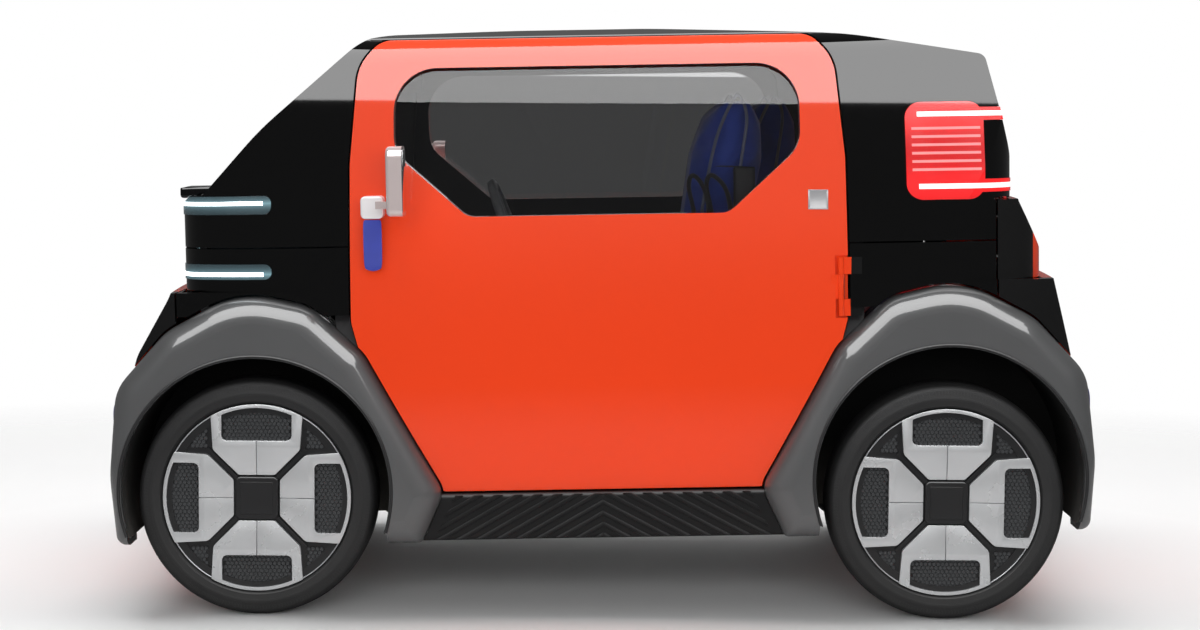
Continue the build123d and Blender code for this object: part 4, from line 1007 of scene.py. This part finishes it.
# ---------------------------------------------------------------- lower body
@dataclass
class LowerBody:
    """Sills with their chevron ribs, arch lips and underbody finishes."""

    sill_y: float = 0.696
    sill_low: float = 0.209
    sill_high: float = 0.318
    sill_reach: float = 0.425
    rib_pitch: float = 0.050
    rib_width: float = 0.0115
    rib_slope: float = 29.0
    arch_radius: float = 0.335
    arch_z: float = 0.342
    axle: float = 0.865

    def build(self) -> None:
        """Make the ribs of both sills and the four arch lips."""
        for side in Side:
            self.make_ribs(side)
        self.make_arch_lips()

    def make_ribs(self, side: Side) -> None:
        """Lay slanted ribs that meet at mid length on one sill's outer face."""
        slope = math.radians(self.rib_slope)
        count = 16
        rib = rounded_block("rib", (-0.24, -0.003, -self.rib_width / 2), (0.24, 0.0045, self.rib_width / 2), 0.003, 2)
        rib.data.transform(Matrix.Rotation(slope, 4, "Y"))
        rib.data.transform(Matrix.Translation((-0.19, self.sill_y, (self.sill_low + self.sill_high) / 2)))
        finish_with(rib, "ARRAY", count=count, use_relative_offset=False, use_constant_offset=True,
                    constant_offset_displace=(self.rib_pitch, 0, 0))
        cut_away(rib, (0, 0, self.sill_high), (0, 0, 1))
        cut_away(rib, (0, 0, self.sill_low), (0, 0, -1))
        cut_away(rib, (0.0005, 0, 0), (-1, 0, 0))
        cut_away(rib, (self.sill_reach, 0, self.sill_low), (1, 0, 0.5))
        half = copied(rib, "rib_mirror", Matrix.Scale(-1, 4, (1, 0, 0)))
        ribs = joined([rib, half], f"sill_ribs_{side.name.lower()}")
        if side is Side.RIGHT:
            ribs.data.transform(Matrix.Scale(-1, 4, (0, 1, 0)))
            ribs.data.flip_normals()
        ribs.data.transform(TIP)
        smooth(ribs, 30)
        settle(ribs, SILL_DARK, "body")

    def make_arch_lips(self) -> None:
        """Run a thin rubber lip round each wheel arch."""
        for end in End:
            for side in Side:
                bpy.ops.object.select_all(action="DESELECT")
                bpy.ops.mesh.primitive_torus_add(major_radius=self.arch_radius + 0.0045, minor_radius=0.0042,
                                                 major_segments=160, minor_segments=10,
                                                 rotation=(math.pi / 2, 0, 0),
                                                 location=(end.value * self.axle, side.value * 0.7495, self.arch_z))
                lip = bpy.context.object
                lip.name = f"arch_lip_{end.name.lower()}_{side.name.lower()}"
                apply_place(lip)
                cut_away(lip, (0, 0, 0.235), (0, 0, -1))
                lip.data.transform(TIP)
                smooth(lip, 60)
                settle(lip, LIP_BLACK, "body")

    def dress(self) -> None:
        """Give the lower body's solids their finishes."""
        FENDER_GREY.on_node("front_fenders", "rear_fenders")
        SILL_DARK.on_node("sills")
        LINER_FELT.on_node("front_liners", "rear_liners")
        CHASSIS_PAINT.on_node("floor_pan", "front_axle", "rear_axle")
        STEEL.on_node("struts", "knuckle_left", "knuckle_right", "track_rod", "seat_frames")
        MOTOR_ALLOY.on_node("drive_motor")
        BATTERY_CASE.on_node("battery_pack")
        PAD_BLUE.on_node("bumper_pads")


# ---------------------------------------------------------------- upper body
@dataclass
class UpperBody:
    """Painted and black panels, glass, cowl tip, roof bump and wiper."""

    def build(self) -> None:
        """Make the small pieces on the upper body."""
        self.make_cowl_tips()
        self.make_roof_bump()
        self.make_wiper()

    def make_cowl_tips(self) -> None:
        """Wedge-shaped ends of the cowl, one at each side of the windshield's foot."""
        for side in Side:
            y = side.value * 0.5
            low, high = sorted((y - 0.035, y + 0.035))
            tip = rounded_block(f"cowl_tip_{side.name.lower()}", (0.985, low, 1.070), (1.066, high, 1.100), 0.008)
            pick_faces(tip, lambda centre, normal: normal.z > 0.8)
            bpy.ops.transform.translate(value=(-0.012, 0, 0))
            leave_edit()
            tip.data.transform(TIP)
            settle(tip, GLOSS_BLACK, "body")

    def make_roof_bump(self) -> None:
        """Low aerial bump near the rear of the roof."""
        top = skin_hit("roof_panel", (-0.44, 0, 2.0), (0, 0, -1))
        bpy.ops.object.select_all(action="DESELECT")
        bpy.ops.mesh.primitive_uv_sphere_add(segments=32, ring_count=16, radius=1, location=(top.x, 0, top.z - 0.002))
        bump = bpy.context.object
        bump.name = "roof_bump"
        bump.scale = (0.036, 0.03, 0.0155)
        apply_place(bump)
        cut_away(bump, (0, 0, top.z - 0.003), (0, 0, -1))
        smooth(bump, 50)
        settle(bump, LIP_BLACK, "body")

    def make_wiper(self) -> None:
        """Single wiper parked along the windshield's foot."""
        points = []
        for share in (0.0, 0.25, 0.5, 0.75, 1.0):
            y = 0.42 - 0.84 * share
            hit = skin_hit("windshield", (2.0, y, 1.135), (-1, 0, 0))
            points.append((hit.x + 0.012, y, 1.135))
        blade = tube("wiper_blade", points, 0.0045)
        settle(blade, LIP_BLACK, "body")
        hub = skin_hit("front_fascia", (1.05, 0.0, 1.6), (0, 0, -1))
        middle = points[2]
        reach = middle[0] + 0.004
        arm = tube("wiper_arm", [(hub.x, 0.0, hub.z - 0.004), (hub.x, 0.0, hub.z + 0.02),
                                 (reach, 0.0, middle[2] - 0.012), (reach, 0.03, middle[2])], 0.0055)
        settle(arm, LIP_BLACK, "body")

    def dress(self) -> None:
        """Give the upper body's solids their finishes."""
        END_PANEL.on_node("front_panel", "rear_panel")
        GLOSS_BLACK.on_node("roof_panel", "front_fascia", "front_corners", "rear_corners")
        TINTED.on_node("windshield", "rear_window")
        FRAME_BLACK.on_node("cab_frame")


# ---------------------------------------------------------------- lamps
@dataclass
class Lamps:
    """Headlight and tail light details cut from the lamps' own skins."""

    def build(self) -> None:
        """Make the light strips and the tail lights' ribs."""
        self.strip("headlights", "headlight_strips", [(1.0535, 1.0625), (0.8770, 0.8865)], 0.835, 9.0, End.FRONT,
                   LED_WHITE, 0.0012)
        self.strip("tail_lights", "tail_light_strips", [(1.2465, 1.2585), (1.0665, 1.0790)], 0.80, 9.0, End.REAR,
                   LED_PINK, 0.0012)
        ribs = [(1.2135 - 0.0205 * step, 1.2200 - 0.0205 * step) for step in range(6)]
        self.strip("tail_lights", "tail_light_ribs", ribs, 0.785, 0.957, End.REAR, RIB_RED, 0.0014)

    def strip(self, node: str, name: str, levels: Sequence[tuple[float, float]], start: float, stop: float,
              end: End, finish: Finish, proud: float) -> None:
        """Raise level bands of a lamp's outer skin.

        Args:
            node: the lamp's solid.
            name: the new piece's name.
            levels: the bottom and top of each band, in the level body frame.
            start: distance from mid length at which the bands begin.
            stop: distance from mid length at which they end.
            end: which end of the car the lamp is at.
            finish: the bands' material.
            proud: how far the bands stand out.
        """
        level = TIP.inverted()
        bands = []
        for low, high in levels:
            band = node_copy(node, name + "_band")
            band.data.transform(level)
            keep_faces(band, lambda centre, normal: self.faces_out(centre, normal, end))
            cut_away(band, (0, 0, high), (0, 0, 1), False)
            cut_away(band, (0, 0, low), (0, 0, -1), False)
            cut_away(band, (end.value * start, 0, 0), (-end.value, 0, 0), False)
            if stop < 2:
                cut_away(band, (end.value * stop, 0, 0), (end.value, 0, 0), False)
            bands.append(band)
        piece = joined(bands, name)
        only(piece)
        bpy.ops.object.mode_set(mode="EDIT")
        bpy.ops.mesh.select_all(action="SELECT")
        bpy.ops.mesh.remove_doubles(threshold=2e-5)
        bpy.ops.object.mode_set(mode="OBJECT")
        finish_with(piece, "SOLIDIFY", thickness=proud + 0.001, offset=0.25)
        piece.data.transform(TIP)
        smooth(piece, 40)
        settle(piece, finish, "body")

    def faces_out(self, centre: Vector, normal: Vector, end: End) -> bool:
        """Whether a face belongs to a lamp's outer skin."""
        if abs(normal.z) > 0.5:
            return False
        away = Vector((end.value * 0.35, math.copysign(0.94, centre.y), 0))
        ahead = Vector((end.value, 0, 0))
        if abs(centre.y) > 0.6:
            return normal.dot(away) > 0.4
        return normal.dot(ahead) > 0.6

    def dress(self) -> None:
        """Give the lamps their lit covers."""
        LAMP_GLASS.on_node("headlights")
        LAMP_RED.on_node("tail_lights")


# ---------------------------------------------------------------- doors
@dataclass
class Doors:
    """Doors: inner trim, strap, plate, mirror glass and paint."""

    strap_width: float = 0.046
    strap_drop: float = 0.128
    handle_x: float = 0.558
    handle_z: float = 1.045
    handle_half: float = 0.028
    face_y: float = 0.744

    def build(self) -> None:
        """Make both doors' extra pieces."""
        for side in Side:
            self.make_inner_trim(side)
            self.make_handle(side)
            self.make_plate(side)
            self.make_mirror_glass(side)

    def make_inner_trim(self, side: Side) -> None:
        """Line the door's inner face with a dark moulded panel."""
        key = side.name.lower()
        trim = node_copy(f"door_{key}", f"door_trim_{key}")
        keep_faces(trim, lambda centre, normal: normal.y * side.value < -0.35)
        finish_with(trim, "SOLIDIFY", thickness=0.002, offset=1.0)
        smooth(trim, 30)
        settle(trim, TRIM_DARK, f"door_{key}")

    def make_handle(self, side: Side) -> None:
        """Split the pull into its block and its hanging strap, which is a sewn loop of webbing."""
        key = side.name.lower()
        node = f"door_handle_{key}"
        knob = node_copy(node, f"pull_block_{key}")
        knob.data.transform(TIP.inverted())
        keep_faces(knob, lambda centre, normal: centre.z > self.handle_z - self.handle_half - 0.0001)
        knob.data.transform(TIP)
        smooth(knob, 40)
        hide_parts(node)
        settle(knob, HANDLE_WHITE, f"door_{key}")
        strap = self.webbing_loop(f"pull_strap_{key}")
        turn = Matrix.Rotation(math.pi, 4, "Z") if side is Side.RIGHT else Matrix.Identity(4)
        strap.data.transform(TIP @ turn)
        settle(strap, STRAP_BLUE, f"door_{key}")

    def webbing_loop(self, name: str) -> bpy.types.Object:
        """A flat loop of webbing below the left pull block, drawn in the level body frame."""
        top = self.handle_z - self.handle_half - 0.0005
        low = top - self.strap_drop
        middle = self.face_y - 0.009
        gap = 0.0026
        path = [(middle + gap, top), (middle + gap + 0.0004, top - 0.05), (middle + gap + 0.0012, low + 0.02),
                (middle + gap + 0.0008, low + 0.008), (middle + 0.0012, low), (middle - 0.0012, low),
                (middle - gap - 0.0004, low + 0.008), (middle - gap - 0.0004, low + 0.02),
                (middle - gap, top - 0.05), (middle - gap, top)]
        columns = 8
        half = self.strap_width / 2
        points, faces = [], []
        for y, z in path:
            for column in range(columns + 1):
                share = 2 * column / columns - 1
                drop = max(0.0, (low + 0.03 - z) / 0.03)
                squeeze = 1 - 0.14 * drop * drop
                lift = 0.006 * drop * share * share
                points.append((self.handle_x + share * half * squeeze, y, z + lift))
        for row in range(len(path) - 1):
            for column in range(columns):
                a = row * (columns + 1) + column
                faces.append((a, a + 1, a + columns + 2, a + columns + 1))
        mesh = bpy.data.meshes.new(name)
        mesh.from_pydata(points, [], faces)
        piece = bpy.data.objects.new(name, mesh)
        bpy.context.scene.collection.objects.link(piece)
        finish_with(piece, "SOLIDIFY", thickness=0.0018, offset=0.0)
        finish_with(piece, "SUBSURF", levels=2, render_levels=2)
        outwards(piece)
        smooth(piece, 50)
        return piece

    def make_plate(self, side: Side) -> None:
        """Small blank plate near the door's rear edge."""
        key = side.name.lower()
        centre = TIP @ Vector((-0.548, 0, 1.045))
        hit = skin_hit(f"door_{key}", (centre.x, side.value * 2.0, centre.z), (0, -side.value, 0))
        high = skin_hit(f"door_{key}", (centre.x, side.value * 2.0, centre.z + 0.02), (0, -side.value, 0))
        plate = rounded_block(f"blank_plate_{key}", (-0.025, -0.0009, -0.025), (0.025, 0.0009, 0.025), 0.0008, 2)
        pick_faces(plate, lambda c, n: abs(n.y) > 0.9)
        bpy.ops.mesh.inset(thickness=0.004)
        leave_edit()
        lean = math.atan2((hit.y - high.y) * side.value, 0.02)
        plate.data.transform(Matrix.Translation((hit.x, hit.y + side.value * 0.0008, hit.z))
                             @ Matrix.Rotation(side.value * lean, 4, "X"))
        settle(plate, PLATE_GREY, f"door_{key}")

    def make_mirror_glass(self, side: Side) -> None:
        """Mirror glass let into the rear face of the mirror head."""
        key = side.name.lower()
        inner, outer = sorted((side.value * 0.760, side.value * 0.862))
        glass = rounded_block(f"mirror_glass_{key}", (0.4705, inner, 1.036), (0.4735, outer, 1.186), 0.0012, 2)
        glass.data.transform(TIP)
        settle(glass, MIRROR_GLASS, f"door_{key}")

    def dress(self) -> None:
        """Give the doors' solids their finishes."""
        ORANGE_PAINT.on_node("door_left", "door_right")
        HINGE_PAINT.on_node("door_hinges")
        TINTED.on_node("door_glass_left", "door_glass_right")
        MIRROR_SHELL.on_node("door_mirror_left", "door_mirror_right")


# ---------------------------------------------------------------- cabin
@dataclass
class Cabin:
    """Seats with padded covers, belts and dashboard pieces."""

    seat_y: float = 0.325
    seat_half: float = 0.197
    setback: float = 0.14
    swell: float = 0.024

    def build(self) -> None:
        """Make the cabin's new pieces."""
        self.make_seats()
        self.make_belts()
        self.make_dash_screen()

    def pad(self, name: str, outline: Sequence[tuple[float, float]], half: float) -> bpy.types.Object:
        """Swell a padded block from a side-view outline.

        Args:
            name: the piece's name.
            outline: (x, z) corners of the pad's side, in order.
            half: half its width.

        Returns:
            The padded piece, at the driver's place in the level body frame.
        """
        points = [(x, self.seat_y + side * half, z) for side in (-1, 1) for x, z in outline]
        count = len(outline)
        faces = [tuple(range(count)), tuple(reversed(range(count, 2 * count)))]
        faces += [(a, count + a, count + (a + 1) % count, (a + 1) % count) for a in range(count)]
        mesh = bpy.data.meshes.new(name)
        mesh.from_pydata(points, [], faces)
        piece = bpy.data.objects.new(name, mesh)
        bpy.context.scene.collection.objects.link(piece)
        outwards(piece)
        finish_with(piece, "BEVEL", width=0.018, segments=3, limit_method="ANGLE")
        finish_with(piece, "REMESH", mode="VOXEL", voxel_size=0.006)
        self.inflate(piece)
        finish_with(piece, "SMOOTH", factor=0.5, iterations=4)
        finish_with(piece, "SUBSURF", levels=1, render_levels=1)
        smooth(piece, 180)
        return piece

    def inflate(self, piece: bpy.types.Object) -> None:
        """Blow a pad up as cloth, with no vertex moving further than the swell allows."""
        rest = [v.co.copy() for v in piece.data.vertices]
        only(piece)
        cloth = piece.modifiers.new("Cloth", "CLOTH")
        cloth.settings.use_pressure = True
        cloth.settings.uniform_pressure_force = 4.0
        cloth.settings.effector_weights.gravity = 0.0
        for number in range(1, 21):
            bpy.context.scene.frame_set(number)
        bpy.ops.object.modifier_apply(modifier=cloth.name)
        bpy.context.scene.frame_set(1)
        for vertex, start in zip(piece.data.vertices, rest):
            move = vertex.co - start
            if move.length > self.swell:
                vertex.co = start + move * (self.swell / move.length)

    def make_seats(self) -> None:
        """Replace both plain seats with a cushion, a back and their piping."""
        cushion = self.pad("cushion", [(0.145, 0.412), (0.150, 0.480), (-0.105, 0.466), (-0.225, 0.468),
                                       (-0.235, 0.408)], self.seat_half - 0.022)
        back = self.pad("back", [(-0.165, 0.500), (-0.268, 1.160), (-0.322, 1.300), (-0.400, 1.300),
                                 (-0.402, 1.150), (-0.262, 0.500)], self.seat_half - 0.022)
        for side, shift in ((Side.LEFT, 0.0), (Side.RIGHT, -self.setback)):
            place = TIP @ Matrix.Translation((shift, 0 if side is Side.LEFT else -2 * self.seat_y, 0))
            key = side.name.lower()
            for source, name in ((cushion, "seat_cushion"), (back, "seat_back")):
                piece = copied(source, f"{name}_{key}", place)
                settle(piece, SEAT_BLUE, "body")
            self.make_piping(key, place)
        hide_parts("seats")
        for source in (cushion, back):
            bpy.data.objects.remove(source)

    def make_piping(self, key: str, place: Matrix) -> None:
        """Outline the back's central panel with light piping.

        Args:
            key: left or right, for the name.
            place: moves the piping from the driver's place to this seat's.
        """
        lines = []
        for sign in (-1, 1):
            y = self.seat_y + sign * (self.seat_half + 0.002)
            points = [(-0.185, y, 0.52), (-0.23, y, 0.80), (-0.288, y, 1.16), (-0.335, y - sign * 0.006, 1.28),
                      (-0.36, y - sign * 0.02, 1.312)]
            lines.append(tube("piping", points, 0.0042))
            points = [(-0.25, y, 0.52), (-0.31, y, 0.80), (-0.37, y, 1.16), (-0.39, y - sign * 0.006, 1.28),
                      (-0.36, y - sign * 0.02, 1.312)]
            lines.append(tube("piping", points, 0.0042))
        piece = joined(lines, f"seat_piping_{key}")
        piece.data.transform(place)
        settle(piece, PIPING, "body")

    def make_belts(self) -> None:
        """Hang a belt loop and its grey bracket beside each seat back."""
        for side in Side:
            key = side.name.lower()
            shift = 0.0 if side is Side.LEFT else -self.setback
            y = side.value * 0.545
            bracket = rounded_block(f"belt_bracket_{key}", (-0.40 + shift, y - 0.011, 0.93),
                                    (-0.345 + shift, y + 0.011, 1.13), 0.009)
            pick_faces(bracket, lambda centre, normal: normal.z > 0.9)
            bpy.ops.transform.translate(value=(0.05, 0, 0))
            leave_edit()
            bracket.data.transform(TIP)
            settle(bracket, TRIM_DARK, "body")
            loops = []
            for offset, reach in ((0.0, 0.05), (0.055, 0.04)):
                x = -0.335 + shift + offset
                points = [(x, y, 0.95), (x - 0.004, y, 1.02), (x + 0.01, y, 1.08), (x + reach, y, 1.115),
                          (x + reach + 0.012, y, 1.08), (x + reach - 0.004, y, 1.02), (x + reach - 0.01, y, 0.95)]
                loops.append(tube("belt", points, 0.006))
            belt = joined(loops, f"belt_loops_{key}")
            belt.data.transform(TIP)
            settle(belt, BELT_BLACK, "body")

    def make_dash_screen(self) -> None:
        """Small blank instrument screen on the dashboard, facing the driver."""
        screen = rounded_block("dash_screen", (-0.008, -0.11, -0.05), (0.008, 0.11, 0.05), 0.006)
        screen.data.transform(TIP @ Matrix.Translation((0.690, self.seat_y, 1.022)) @ Matrix.Rotation(-0.25, 4, "Y"))
        settle(screen, SCREEN_GLASS, "body")

    def dress(self) -> None:
        """Give the cabin's solids their finishes."""
        DASH_PLASTIC.on_node("dashboard")
        WHEEL_GREY.on_node("steering_wheel")


def main() -> None:
    """Build and dress every sub-assembly, logging each as it is done."""
    Studio().build()
    for part in (Wheels(), LowerBody(), UpperBody(), Lamps(), Doors(), Cabin()):
        part.build()
        part.dress()
        LOG.info("%s done", type(part).__name__)


if __name__ == "__main__":
    main()
